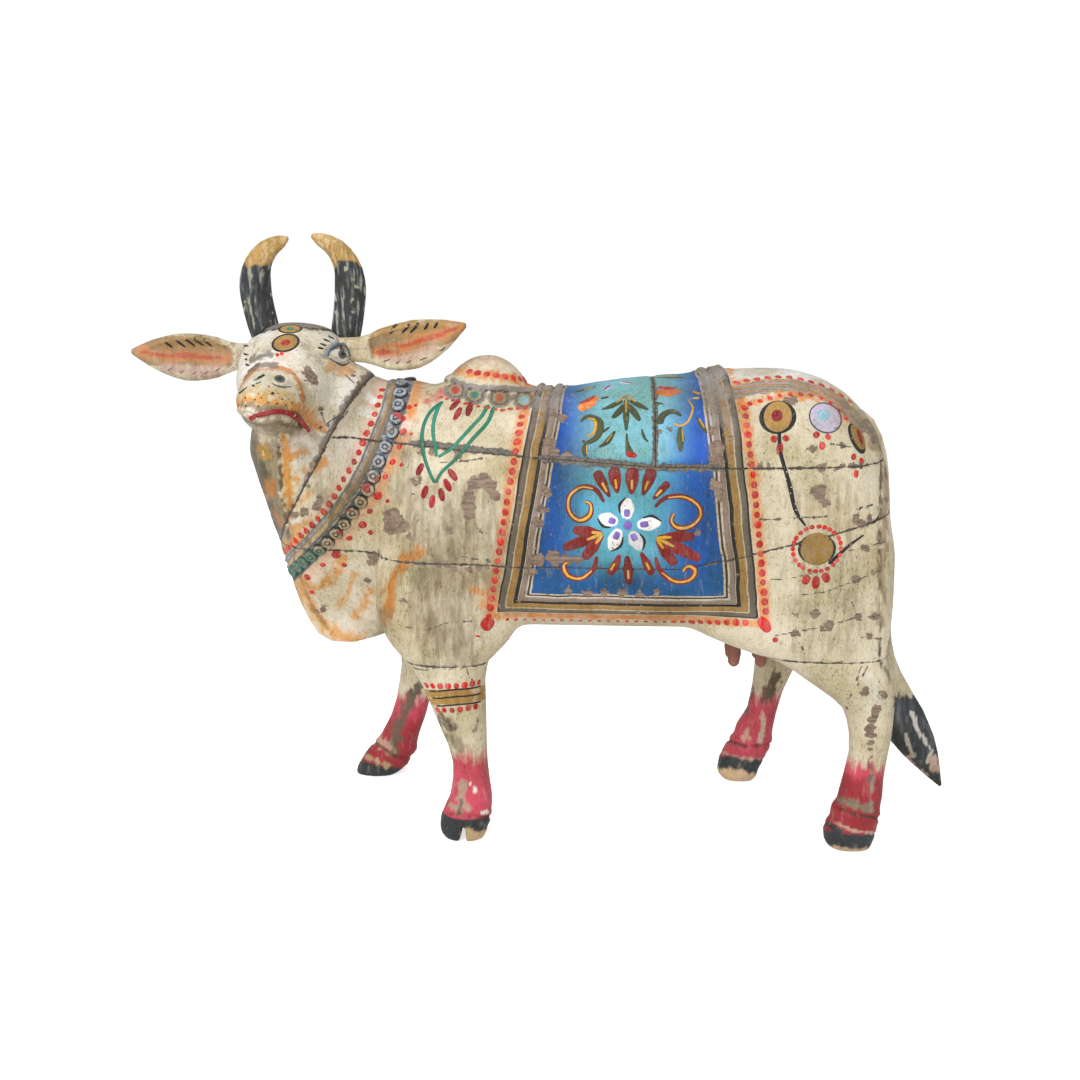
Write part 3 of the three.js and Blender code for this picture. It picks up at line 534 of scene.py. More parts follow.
# The body's washes, from the collar to the rump, and the blue ground of the saddle cloth
BODY_CRACKS = [
    [(-87.5, 144.5), (-81.5, 142.5), (-70.5, 141.5), (-60, 146), (-43, 147.5)], [(-50, 186), (-34, 183)],
    [(-78, 222), (-70, 220)], [(-62, 240.5), (-45, 241.5), (-38, 243)],
    [(117.5, 209.5), (136.5, 210.5), (155.5, 212)], [(168, 192), (178, 194), (188, 198)],
    [(125.5, 174.5), (136.5, 175.5), (150, 179)],
    [(142, 165.5), (157, 168), (173, 174.5), (187.5, 181.5)], [(134, 154.5), (144, 155)],
    [(128, 141), (147, 145), (160.5, 148), (176.5, 153.5), (189, 154.5)], [(179, 141.5), (192.5, 140.5)],
    [(172.5, 162), (176.5, 154.5)], [(142, 140.5), (148, 131)], [(155.5, 252.5), (168, 250.5)],
    [(171.5, 216.5), (180, 218.5)],
]
BARE_SPOTS = [
    (-89, 208, 6), (-85.5, 204, 5), (-91, 202, 3.5), (-101, 186, 3.5), (-102, 182.5, 2.5), (-42, 229, 4),
    (-37, 230, 4), (-33, 227, 4), (-45, 222, 3.5), (-46, 215, 3.5), (-45.5, 210, 3.5), (-30.5, 222, 3),
    (-64, 182, 2.5), (-59, 180.5, 2.5), (-55, 178.5, 2), (-46, 178.5, 2), (-41, 179.5, 1.8),
    (-36, 180, 1.8), (-57, 201, 2), (-39, 201, 1.6), (-76.5, 229.5, 2), (-73, 231, 1.6),
    (-105.5, 171, 1.8), (-84.5, 159, 2), (-132, 153, 2), (-136, 151.5, 1.4), (-140, 211, 3),
    (-133.5, 214.5, 2.6), (-131, 219, 2), (-146.5, 209.5, 2), (-136.5, 226, 1.4), (-80, 197, 1.5),
    (175.5, 208, 3), (171.5, 211, 2.2), (179, 211, 2.2), (178, 194, 2.4), (174, 175.5, 2.4),
    (182.5, 179.5, 1.8), (152, 155, 2.6), (141.5, 143, 2.4), (156.5, 147.2, 2), (161, 148.2, 2.6),
    (176.5, 153.5, 2.4), (185.5, 154.5, 2.2), (184, 142, 2), (169, 124.5, 2.4), (150.5, 239, 2.6),
    (158, 239, 1.2), (145.5, 250, 2.4), (151, 225.5, 3.8), (154, 220, 2.8), (147.5, 226, 2),
    (161.5, 252, 1.6), (173, 264, 2.2), (176, 260, 2), (178.5, 255.5, 2), (182.5, 251, 1.6),
    (112, 240.5, 1.8), (117, 240.5, 1.8), (122, 240, 1.2), (163, 240.5, 1.6), (168, 241, 2),
    (173, 241.5, 1.6), (152, 240.5, 2.2), (-72, 246, 2), (-66, 245.5, 1.8), (-51, 244.5, 2),
    (142.5, 154.5, 1.4), (130, 275, 2.8), (133.5, 276, 2.4), (187, 236, 1.6), (187.5, 222, 1.4),
]
CLOTH_SPOTS = [
    (-7, 184.5, 4), (2, 185.5, 4), (10, 185.5, 3.5), (17, 185.5, 2.5), (2, 246, 4.5), (9, 243, 4),
    (0, 252, 3.5), (16, 241, 2.5), (-6, 206, 3), (-3.5, 214, 2.6), (-1, 224, 2.6), (93, 250, 4.5),
    (91, 259, 3), (93, 243, 4.5), (93, 229, 3.5), (95, 223, 2.5), (85, 202, 2), (12, 166, 2),
    (22, 165.5, 2.6), (32, 165.5, 2.6), (42, 165.5, 2.5), (8, 266, 2.2), (2, 268, 2.2), (61, 259, 1.5),
    (67, 260.5, 1.5), (52, 165.5, 2), (62, 166.5, 2), (-9, 178, 2.5),
]
GARLAND = [
    (102, 280.5), (115.5, 283.5), (132, 284.5), (146.5, 281.5), (158, 275.5), (165.5, 268.5),
    (171, 261.5),
]
BODY_WASHES = [
    ([(-68, 205), (-60, 150)], 8, 26, DUST, 0.62), ([(-40, 215), (-30, 175)], 6, 16, DUST, 0.5),
    ([(-60, 135), (-55, 120)], 8, 18, DUST, 0.45), ([(150, 215), (162, 150)], 10, 24, DUST, 0.32),
    ([(-62, 310), (-30, 316), (0, 306)], 9, 9, (0.44, 0.30, 0.20), 0.42),
    ([(-80, 240), (-84, 225)], 3, 9, DUST, 0.5), ([(-90, 250), (-60, 262)], 2, 10, DUST, 0.2),
    ([(-74.5, 188.5), (-84, 182.5), (-90, 172.5), (-93, 160.5), (-96, 146.5)], 0.4, 5, (0.62, 0.26, 0.06),
     0.9),
    ([(-97, 150), (-99, 128), (-96, 118)], 1, 7, DUST, 0.6),
    ([(-45, 166), (-38, 165), (-37, 156)], 0.3, 3.5, ORANGE, 0.7),
    ([(-119.5, 184.5), (-124.5, 174.5), (-133.5, 166.5)], 0.3, 4.5, AMBER, 0.8),
    ([(-112.5, 175), (-116.5, 165), (-123, 156)], 0.2, 4, AMBER, 0.65),
    ([(-103.5, 165), (-107.5, 156.5), (-113.5, 150)], 0.3, 4.5, AMBER, 0.75),
    ([(-149, 192.5), (-144, 170), (-139, 155), (-132, 143), (-122, 136), (-110, 134)], 1, 5.5, AMBER, 0.8),
    ([(-146, 178), (-139, 155), (-128, 139)], 0.2, 1.6, UMBER, 0.5), (GARLAND, 3.2, 0.8, GREY, 0.95),
    ([(108, 274), (121.5, 277.5), (130, 279.5), (144.5, 279), (154.5, 274.5), (160.5, 268.5),
      (164.5, 265)],
     1, 2.2, ORANGE, 0.75),
    ([(104, 291), (125, 294), (150, 290), (168, 280), (178, 268)], 2.6, 2.5, (0.72, 0.70, 0.68), 0.85),
    ([(100.5, 284), (129.5, 286.5), (147.5, 283), (159, 277.5)], 0.2, 1.6, ORANGE, 0.5),
    ([(166, 271), (173, 268), (178, 261), (180, 252)], 2, 3, (0.40, 0.30, 0.20), 0.7),
    # Painted light and shade at the tail's root: a painted highlight at the rump's rear corner, and painted
    # shade in brown beside the tail's groove and along the rump's rear edge, with a dark line in the groove.
    ([(178, 270), (186, 255)], 0.8, 2, WHITE, 0.6),
    ([(186, 250), (187, 220), (188, 185), (190, 150)], 1, 2.4, (0.34, 0.26, 0.17), 0.75),
    ([(182.5, 253), (184, 225.5), (186.5, 186), (190.5, 130.5)], 0.1, 0.9, (0.10, 0.075, 0.05), 0.7),
    ([(192, 250), (194, 220), (195, 180)], 1, 3, (0.55, 0.44, 0.30), 0.6),
    ([(-53.5, 286.4), (-46, 283.5), (-38, 282.5), (-24, 282), (-5, 281)], 1.5, 0.7, (0.25, 0.225, 0.20),
     0.95),
    # Painted shadow: a dark line under the hump's carved rim.
    ([(-57, 286), (-46, 281.8), (-38, 280.8), (-24, 280.2), (-5, 279.2)], 0.2, 0.6, INK, 0.9),
    ([(-50, 292), (-40, 289), (-24, 288), (-12, 286)], 1, 3, ORANGE, 0.7),
    ([(-60, 300), (-40, 304), (-20, 300)], 3, 8, (0.50, 0.30, 0.22), 0.5),
    ([(-66, 276), (-60, 279)], 1, 4, (0.55, 0.13, 0.10), 0.6),
    ([(-80, 262), (-90, 256)], 1, 5, WHITE, 0.5),
    ([(-104.5, 269.5), (-101.5, 268)], 2.6, 0.8, WHITE, 0.95),
    ([(-101, 277), (-98.5, 275)], 1.8, 0.8, WHITE, 0.95),
]
# Washes of the throat. Its first three rows are painted shade: brown and umber over the throat's far side,
# which turns away from the light. The ochre, rust and cream patches after them are the paint's own, and the
# last row is a dark line along the throat's fold.
THROAT_WASHES_AND_SHADE = [
    ([(-157, 256), (-158, 240), (-158, 222), (-155, 205), (-152, 190)], 4, 3, (0.30, 0.25, 0.16), 0.9),
    ([(-167, 254), (-166, 238), (-163, 225)], 3, 4, UMBER, 0.85),
    ([(-160, 216), (-155, 200)], 1.2, 3, UMBER, 0.8),
    ([(-161.5, 248), (-161, 244)], 1.5, 3, (0.50, 0.28, 0.05), 0.9),
    ([(-160, 228), (-159, 222)], 1.2, 2.5, RUST, 0.9), ([(-163, 256), (-158, 253)], 1, 3, CREAM, 0.8),
    ([(-157, 211), (-153, 203)], 0.6, 2, RUST, 0.6),
    ([(-149, 253), (-149.5, 241.5), (-149, 227), (-149, 216.5), (-147, 209)], 1.2, 3, AMBER, 0.95),
    ([(-147, 229), (-137.5, 234), (-127.5, 240.5)], 0.4, 4, AMBER, 0.8),
    ([(-135.5, 222.5), (-141.5, 218)], 0.2, 3, AMBER, 0.6),
    ([(-137, 247), (-147.5, 243.5)], 0.3, 3.5, AMBER, 0.75),
    ([(-148.5, 201), (-139, 204.5)], 0.4, 3.5, AMBER, 0.7),
    ([(-149, 192), (-142, 196)], 1, 4, AMBER, 0.7), ([(-142, 233), (-134, 229)], 0.4, 2.5, WHITE, 0.8),
    ([(-147, 206), (-140, 209)], 0.4, 2, WHITE, 0.7), ([(-143, 252), (-133, 249)], 1, 3, WHITE, 0.6),
    ([(-132, 226), (-126, 216)], 1, 5, DUST, 0.5),
    ([(-153, 252), (-152.8, 237.5), (-153, 222.5), (-151.5, 210.5), (-150, 194)], 0.2, 1.2,
     (0.10, 0.07, 0.045), 0.85),
]
PENDANT_COLOURS = [(0.36, 0.05, 0.05), (0.03, 0.19, 0.15), (0.42, 0.10, 0.05), (0.26, 0.50, 0.62)]


def cloth_colours(spots):
    """The blue ground of the cloth: light in the middle of each board, deep towards the edges."""
    x, z = spots.T
    upper = ease(z, 240, 246)[:, None]
    across = ease(np.abs(x - 42 - 3 * upper[:, 0]), 12, 40)[:, None]
    low = (1 - ease(z, 170, 192))[:, None]
    light = np.array((0.10, 0.36, 0.46)) + upper * np.array((0.10, 0.14, 0.14))
    deep = np.array((0.008, 0.075, 0.30)) + upper * np.array((0.0, 0.005, 0.10))
    colour = light + across * (deep - light)
    return colour + low * (np.array((0.008, 0.085, 0.25)) - colour)


def body_washes(coat, co, spots, out):
    """The orange glow of cloth and collar, the body's own washes, the garland, the collar and the cloth."""
    inset = cloth_inset(co)
    collar = from_line(spots, COLLAR)
    neck = neck_share(co)
    ragged = patchy(co, 3.5, 7) + 0.5 * patchy(co, 1.6, 3, 5)
    rubbed = patchy(co, 4, 9, 11)
    over(coat, 0.75 * between(inset, -9.5, -5, -1.5, -0.2), ORANGE)
    over(coat, 0.75 * neck * between(collar, 12, 15, 16, 23 + 2 * ragged), ORANGE)
    over(coat, 0.5 * neck * between(collar, -9, -6, -3, -1), (0.62, 0.25, 0.20))
    over(coat, 0.5 * (1 - ease(co[:, 0], -0.115, -0.095)), (0.74, 0.68, 0.56))
    wash_all(coat, spots, BODY_WASHES, ragged)
    band = from_line(spots, GARLAND)
    strands = np.sin(band * 2.3 + spots[:, 0] * 0.16 + 0.7 * ragged)
    over(coat, 0.9 * (np.abs(band) < 3.4) * ease(strands, 0.2, 0.7), (0.40, 0.27, 0.11))
    over(coat, 0.8 * (np.abs(band) < 3.4) * ease(-strands, 0.3, 0.8), (0.36, 0.35, 0.38))
    # The throat's washes, with painted shade on its far side.
    wash_all(coat, sight(co), THROAT_WASHES_AND_SHADE, ragged)
    low = ease(-co[:, 2], -0.225, -0.195)
    over(coat, neck * between(collar, -0.8, -0.2, 6.2, 6.8), GREY)
    over(coat, 0.9 * neck * between(collar, 2.2, 2.5, 3.4, 3.8), OCHRE)
    over(coat, neck * between(collar, 0.2, 0.8, 1.8, 2.3) * ease(rubbed, -0.3, 0.3), (0.33, 0.36, 0.40))
    over(coat, 0.9 * low * neck * between(collar, 2.4, 3, 4.8, 5.4) * ease(rubbed, -0.5, 0),
         (0.52, 0.40, 0.24))
    over(coat, neck * between(collar, 6.6, 7, 13, 13.8), SLATE)
    pale = ease(co[:, 2], 0.21, 0.26) * ease(rubbed, 0.0, 0.5)
    over(coat, 0.8 * pale * neck * between(collar, 6.8, 7.4, 12.6, 13.4), (0.33, 0.38, 0.44))
    over(coat, 0.9 * low * neck * between(collar, 7, 8, 12, 13) * ease(-rubbed, -0.1, 0.3),
         (0.06, 0.085, 0.08))
    for (x, z), colour in zip(PENDANTS, PENDANT_COLOURS):
        lobe = oval(spots, (x, z), PENDANT_HALF)
        below = (spots[:, 1] < z + 3) * hump_share(co)
        over(coat, 0.9 * below * (1 - ease(lobe, 1.05, 1.15)), (0.24, 0.21, 0.18))
        over(coat, 0.8 * below * (1 - ease(lobe, 0.6, 0.72)), (0.42, 0.32, 0.17))
        over(coat, 0.8 * below * between(lobe, 0.62, 0.7, 0.74, 0.84), (0.07, 0.07, 0.07))
        over(coat, 0.95 * below * (1 - ease(lobe, 0.36, 0.48)), colour)
    on_cloth = inset > SIDE_BORDER - 2
    coat[on_cloth, :3] = cloth_colours(spots[on_cloth])
    coat[on_cloth, 3] = 1


# Legs: cream above, rose towards the fetlocks, black hooves whose toes are worn to the ground coat.
# The washes give the heights at which a colour starts and is full; the marks are seen by the camera.
LEG_WASHES = {
    "leg_front_left": [(66, 46, ROSE), (17.5, 16.5, SOOT)],
    "leg_front_right": [(69, 47, ROSE), (50, 36, CRIMSON)],
    "leg_rear_left": [(63, 51, ROSE), (52, 46, CRIMSON)], "leg_rear_right": [(71, 53, ROSE)],
}
HOOF_TOPS = {"leg_front_left": 17, "leg_front_right": 20, "leg_rear_left": 15, "leg_rear_right": 23}
LEG_MARKS = {
    "leg_front_left": (
        [([(-76, 102), (-58.5, 102.4), (-48.5, 103.2), (-34, 107)], 2.2, 0.4, OCHRE, 1),
         ([(-72, 97), (-58.5, 97.6), (-48.5, 98.5), (-34, 102)], 2, 0.4, OCHRE, 1),
         ([(-50, 11.5), (-45, 9), (-38, 10.5)], 3.6, 1.2, TAN, 0.97),
         ([(-41, 18), (-37, 16)], 0.8, 1.2, (0.10, 0.11, 0.12), 0.9),
         ([(-64, 88), (-60.5, 83), (-57.5, 80)], 0.6, 4, UMBER, 0.75),
         ([(-57.5, 74), (-52.5, 68.5)], 0.5, 5, DUST, 0.7), ([(-66, 84), (-60, 66)], 1, 5, DUST, 0.5),
         ([(-42.5, 87), (-43.5, 79.5)], 0.2, 1.6, UMBER, 0.7),
         ([(-52, 44), (-53, 36.5), (-54.5, 27)], 1.8, 2.2, GROUND, 0.95),
         ([(-58.5, 30), (-50, 28.5)], 1.4, 2, GROUND, 0.95),
         ([(-53, 34), (-54, 26)], 0.4, 1.6, UMBER, 0.9),
         ([(-47.5, 45.5), (-47.3, 44)], 0.4, 0.7, WHITE, 1),
         ([(-44.8, 42), (-44.3, 40)], 0.5, 0.8, WHITE, 1),
         ([(-40, 25.6), (-37, 26.4)], 0.6, 0.9, WHITE, 1),
         ([(-42.5, 110), (-43.5, 102), (-45, 95)], 0.3, 1.8, (0.60, 0.50, 0.36), 0.95),
         ([(-61, 24.4), (-51.5, 23.6), (-41.5, 22.8), (-33, 24)], 0.1, 0.9, WINE, 0.8)],
        [(-38, 47.5, 0.9)],
        [[(-81.5, 118.5), (-76.5, 117), (-72.5, 116.5), (-65, 119), (-58.5, 117), (-52.5, 117),
          (-48.5, 120)],
         [(-48.5, 120), (-47, 113), (-44, 111)], [(-42.5, 87), (-43.5, 79.5)]],
    ),
    "leg_front_right": (
        [([(-118, 49), (-80, 43)], 8.8, 1.2, SOOT, 1),
         ([(-78, 106), (-83, 96.5), (-87.5, 87.5), (-91, 78.5), (-93.5, 64)], 0.8, 4.5,
          (0.12, 0.10, 0.065), 0.95),
         ([(-102.5, 73), (-96, 66)], 1.2, 3.5, (0.52, 0.36, 0.26), 0.85),
         ([(-109.5, 61), (-104.5, 58.5), (-97.5, 55)], 1, 1.8, (0.46, 0.34, 0.20), 0.95),
         ([(-103.5, 70), (-97.5, 65), (-92, 61), (-85, 60), (-79.5, 64.5)], 0.1, 1.1, (0.14, 0.02, 0.02),
          0.85)],
        [], [[(-103.5, 70), (-97.5, 65)]],
    ),
    "leg_rear_left": (
        [([(165, 12), (182, 9), (200, 11)], 8, 1.2, SOOT, 1),
         ([(167.5, 24), (175, 19.5)], 1, 1.5, SOOT, 1),
         ([(174, 40), (182, 37.5), (192, 34)], 1.6, 1.6, (0.24, 0.20, 0.14), 0.97),
         ([(191.5, 58), (191, 44.5), (192.5, 34)], 0.3, 1.5, (0.30, 0.26, 0.20), 0.95),
         ([(171, 25.5), (182, 20), (195.5, 19)], 0.2, 1.1, (0.62, 0.44, 0.34), 0.85),
         ([(169, 9), (181.5, 6.5), (196, 7.5)], 0.6, 1.8, TAN, 0.95),
         ([(174.5, 34), (183.5, 30), (198, 28.5)], 0.2, 1, (0.09, 0.04, 0.035), 0.9),
         ([(184, 118), (190, 100)], 2, 6, WHITE, 0.4),
         ([(192, 126), (197.5, 117.5), (202, 109)], 0.2, 1.4, UMBER, 0.7)],
        [(190.5, 98.5, 2.4), (190, 95, 2.8), (188.5, 90.5, 2.8), (188.5, 86, 3), (188.8, 82, 2.6),
         (188.5, 77, 2), (189, 72.5, 1.5), (189.5, 67, 1.1), (190.5, 61, 0.9), (191, 56, 0.8),
         (183, 110.5, 1.4), (183, 107.5, 1.8), (194, 106.5, 2), (200.8, 104, 1.2), (200.8, 100, 1.4)],
        [[(180.5, 124), (176, 108.5), (173.5, 97.5)], [(184, 124), (178.5, 111)], [(188, 68), (190, 50)]],
    ),
    "leg_rear_right": (
        [([(97, 59), (107.5, 61), (117.5, 59), (128, 60)], 5.6, 1.2, SOOT, 1),
         ([(96, 54), (112.5, 53), (128, 49)], 3.6, 2.2, TAN, 0.97),
         ([(132, 117), (129.5, 110), (127, 102.5)], 1.6, 3, UMBER, 0.95),
         ([(118, 110), (114.5, 94.5)], 0.3, 2.4, (0.07, 0.06, 0.05), 0.8),
         ([(125.5, 94.5), (125.5, 75.5)], 0.6, 1.6, (0.60, 0.50, 0.40), 0.9),
         ([(116, 82.5), (116, 78)], 1, 1.8, (0.58, 0.42, 0.30), 0.85),
         ([(106, 76.5), (117, 72.5), (131, 75)], 0.1, 1.1, WINE, 0.8),
         ([(103, 68.5), (117, 64.8), (128, 65.2)], 0.2, 1, (0.58, 0.40, 0.28), 0.85)],
        [], [[(103, 76), (117, 72.5)]],
    ),
}


def leg_washes(name):
    def washes(coat, co, spots, out):
        streaky = patchy(co, 2.5, 16) + 0.5 * patchy(co, 1.5, 4, 5)
        for top, full, colour in LEG_WASHES[name]:
            over(coat, 1 - ease(co[:, 2] / mm + streaky * 0.25 * (top - full), full, top), colour)
        unseen = ease(out[:, 1], 0.0, 0.3) * (1 - ease(co[:, 2] / mm, HOOF_TOPS[name] - 1, HOOF_TOPS[name]))
        wash_all(coat, spots, LEG_MARKS[name][0], patchy(co, 3, 6) + 0.5 * patchy(co, 1.4, 2.5, 5))
        over(coat, unseen, SOOT)
    return washes


# Washes of the head, ears, horns and tail. The head's own lie on both cheeks, and those of the neck and
# the throat only where it faces the camera.
HEAD_WASHES = [
    ([(-126, 284), (-114, 280)], 6, 9, WHITE, 0.75),
    ([(-152, 287), (-146, 284), (-143, 279)], 4.5, 4, WHITE, 0.85),
    ([(-160, 286), (-156, 281)], 3, 3, WHITE, 0.8),
    ([(-168, 275), (-163, 276), (-157, 273), (-150, 272.5), (-142, 270)], 1.6, 3, (0.72, 0.33, 0.03),
     0.85),
    ([(-160, 279), (-152, 279.5), (-145, 277)], 0.6, 3, (0.62, 0.42, 0.14), 0.6),
    ([(-163, 292.5), (-157, 293.6), (-149.5, 293), (-142.5, 289.6), (-138.7, 282.5), (-138.2, 275),
      (-138, 267), (-134, 262)],
     0.5, 1.4, (0.62, 0.24, 0.05), 0.9),
    ([(-134, 262), (-126.5, 257.5)], 0.5, 2, (0.62, 0.24, 0.05), 0.6),
    # Painted shade under the lips: brown-grey over the chin, darker along its middle.
    ([(-164, 259), (-152, 261), (-143, 258)], 3.6, 2, (0.36, 0.29, 0.22), 0.88),
    ([(-161, 260.5), (-151, 262), (-141, 259.5)], 0.6, 1.4, UMBER, 0.7),
    ([(-167.5, 266.6), (-161.5, 269.3), (-153.5, 270.8), (-145.5, 269.8), (-139.5, 266.2)], 0.1, 0.9,
     UMBER, 0.9),
    ([(-165, 268.8), (-158, 271.2), (-148, 271)], 1, 1.4, (0.30, 0.24, 0.16), 0.85),
    ([(-135.5, 268), (-133, 262.5), (-127, 259)], 1.6, 3, (0.66, 0.32, 0.10), 0.8),
    ([(-128, 300), (-124.5, 294)], 0.3, 2.6, (0.42, 0.30, 0.18), 0.6),
    ([(-123, 309.5), (-117, 308.5)], 1.6, 2, WHITE, 0.95), ([(-138, 300), (-130, 296)], 3, 5, WHITE, 0.5),
    ([(-156, 300), (-146, 299.5)], 1, 4, (0.62, 0.42, 0.30), 0.5),
    ([(-136, 305), (-130, 300)], 0.5, 4, DUST, 0.4),
]
NECK_WASHES = [
    ([(-122, 295), (-116, 291.5), (-110, 292.5)], 1.2, 3, (0.66, 0.38, 0.18), 0.85),
    ([(-124, 299.5), (-120, 304.8), (-115, 307.6), (-111, 306)], 1.4, 1, (0.34, 0.40, 0.48), 0.9),
    ([(-166, 296.5), (-160, 299.5), (-155, 300.5)], 1.1, 1.2, (0.23, 0.19, 0.16), 0.9),
    ([(-163.5, 293), (-158, 294.6), (-152, 294.4)], 1, 0.8, (0.23, 0.19, 0.16), 0.9),
    ([(-138, 246), (-130, 236), (-126, 226)], 6, 8, WHITE, 0.55),
    ([(-118, 258), (-112, 266)], 4, 5, WHITE, 0.5), ([(-103, 277), (-99.5, 275)], 2.6, 1.4, WHITE, 0.95),
    ([(-106, 268), (-104.5, 268)], 2, 1.4, WHITE, 0.95), ([(-134, 256), (-126, 252)], 1, 4, DUST, 0.5),
    (CROWN, 1.7, 0.6, (0.20, 0.165, 0.13), 0.95),
    ([(-167, 308.7), (-158.5, 312.6), (-148, 314.6), (-135.5, 314.6), (-122.5, 313.6), (-115, 312)], 0.2,
     0.7, INK, 0.9),
]
HEAD_BARE = [
    (-134.5, 291, 2.6), (-132, 288.5, 2.6), (-131, 285, 2.2), (-134, 288, 2), (-160, 309, 1.2),
    (-106, 284, 1.4), (-125, 261.5, 1.4), (-155, 294.8, 1.4), (-128.5, 270, 1.2), (-109.5, 289, 1.4),
]
SEAM_HALF = 0.3
HEAD_CRACKS = [[(-129, 259.5), (-118.5, 266)], [(-128, 270), (-126, 262)], [(-113, 289), (-108, 284)]]


def head_washes(coat, co, spots, out):
    ragged = patchy(co, 3, 4) + 0.5 * patchy(co, 1.4, 1.6, 5)
    over(coat, 0.6 * ease(-co[:, 1], -0.03, 0.01) * ease(co[:, 2], 0.2, 0.25), (0.76, 0.72, 0.62))
    wash_all(coat, spots, HEAD_WASHES, ragged)
    on_neck = sight(co)
    facing = ease(-out[:, 1], -0.2, 0.2)
    # Neck and throat washes where they face the camera, with the throat's painted shade among them.
    wash_all(coat, on_neck, [(*row[:4], row[4] * facing) for row in NECK_WASHES + THROAT_WASHES_AND_SHADE], ragged)
    seam = neck_distance(co) - SEAM_HALF + 1.1 * ragged
    upper = 0.3 + 0.7 * ease(co[:, 2], 0.2, 0.245)
    over(coat, 0.95 * upper * (1 - ease(seam, 2.1, 3)), (0.27, 0.225, 0.19))
    over(coat, 0.9 * (1 - ease(seam + 1.5 * patchy(co, 2, 2, 8), 0.2, 0.8)), (0.10, 0.078, 0.06))


# Each ear has its middle, its upper edge, its red streak and its lower edge
EARS = {
    "ear_left": (
        [(-93, 307), (-80, 306), (-66, 309), (-52, 316)],
        [(-92, 312), (-84.5, 314), (-68, 315.5), (-50, 317)],
        [(-93.5, 301.5), (-78.5, 305.5), (-59, 311.5), (-50, 316)],
        [(-90, 299.5), (-78.5, 298.5), (-64.5, 303.5)],
    ),
    "ear_right": (
        [(-226, 301), (-210, 301), (-195, 300), (-182, 299)],
        [(-216, 305), (-206, 306.5), (-195, 306), (-184, 303)],
        [(-227, 301.5), (-214, 299.5), (-197, 299), (-181, 298)],
        [(-214, 293), (-197, 290.5), (-184, 292.5)],
    ),
}


def ear_washes(name):
    middle, upper, streak, lower = EARS[name]

    def washes(coat, co, spots, out):
        seen = ease(-out[:, 1], 0.15, 0.4)
        streaky = patchy(co, 9, 1.5, deep=2)
        rows = [
            (middle, 5.5, 2, (0.36, 0.24, 0.115), 0.95), (upper, 3, 2, (0.42, 0.26, 0.09), 0.95),
            (middle, 0.5, 3, (0.34, 0.31, 0.24), 0.7), (lower, 1, 4, (0.62, 0.42, 0.35), 0.7),
            (streak, 0.8, 4.5, (0.70, 0.25, 0.06), 0.8), (streak, 0, 2, (0.50, 0.05, 0.045), 0.75),
        ]
        wash_all(coat, spots, [(*row[:4], row[4] * seen) for row in rows], 0.74 * streaky)
        over(coat, 0.6 * seen * ease(streaky, 0.55, 1.0), (0.52, 0.40, 0.26))
        over(coat, (0.3 if name == "ear_right" else 0.1) * seen, (0.16, 0.10, 0.06))
    return washes


def horn_washes(coat, co, spots, out):
    """Black rubbed to grey streaks, with ochre tips; the streaks and whitish patches are worn paint and
    painted highlight.
    """
    streak = patchy(co, 2, 22) + 0.5 * patchy(co, 0.9, 6, 7)
    over(coat, np.full(len(co), 1.0), (0.04, 0.046, 0.052))
    # Painted highlight along with worn paint: grey streaks, whitish patches, and paler streaks on the ochre
    # tips.
    over(coat, 0.8 * ease(streak, 0.05, 0.6), (0.15, 0.17, 0.185))
    over(coat, 0.85 * ease(streak, 0.6, 0.85), (0.42, 0.42, 0.38))
    over(coat, 0.8 * ease(patchy(co, 4, 4, 31), 0.8, 0.95), (0.62, 0.58, 0.48))
    tip = 349.5 + 2.4 * patchy(co, 4, 30, 3)
    over(coat, ease(co[:, 2] / mm, tip - 0.8, tip + 0.8), (0.50, 0.31, 0.10))
    over(coat, 0.7 * ease(co[:, 2] / mm, tip, tip + 2) * ease(streak, 0.1, 0.6), (0.72, 0.54, 0.33))


TAIL_WASHES = [
    ([(211, 96.5), (214, 88), (219, 80), (224.5, 72.5), (222.5, 66)], 0.5, 1.2, (0.62, 0.60, 0.55), 0.95),
    ([(208.5, 83), (211.5, 75), (214, 68.5)], 0.4, 1.1, (0.62, 0.58, 0.52), 0.9),
    ([(226, 67), (228, 61)], 1.6, 2, (0.60, 0.44, 0.37), 0.9),
    ([(211, 68), (216, 61), (222.5, 56.5)], 0.6, 1.4, (0.60, 0.42, 0.34), 0.9),
    ([(231, 62.5), (232.5, 55)], 0.4, 1.2, (0.60, 0.46, 0.40), 0.9),
    ([(203, 108), (203, 96), (207, 84)], 0.3, 2, ASH, 0.8), ([(218, 92), (226, 78)], 0.2, 1.6, ASH, 0.7),
]


def tail_washes(coat, co, spots, out):
    streaky = patchy(co, 2, 14) + 0.5 * patchy(co, 1, 4, 5)
    over(coat, 1 - ease(spots[:, 1] + 1.5 * streaky, 104, 109), SOOT)
    over(coat, 0.5 * (spots[:, 1] < 104) * ease(streaky, 0.2, 0.7), (0.10, 0.11, 0.12))
    wash_all(coat, spots, TAIL_WASHES, streaky)


def teat_washes(coat, co, spots, out):
    over(coat, np.full(len(co), 1.0), (0.30, 0.12, 0.085))


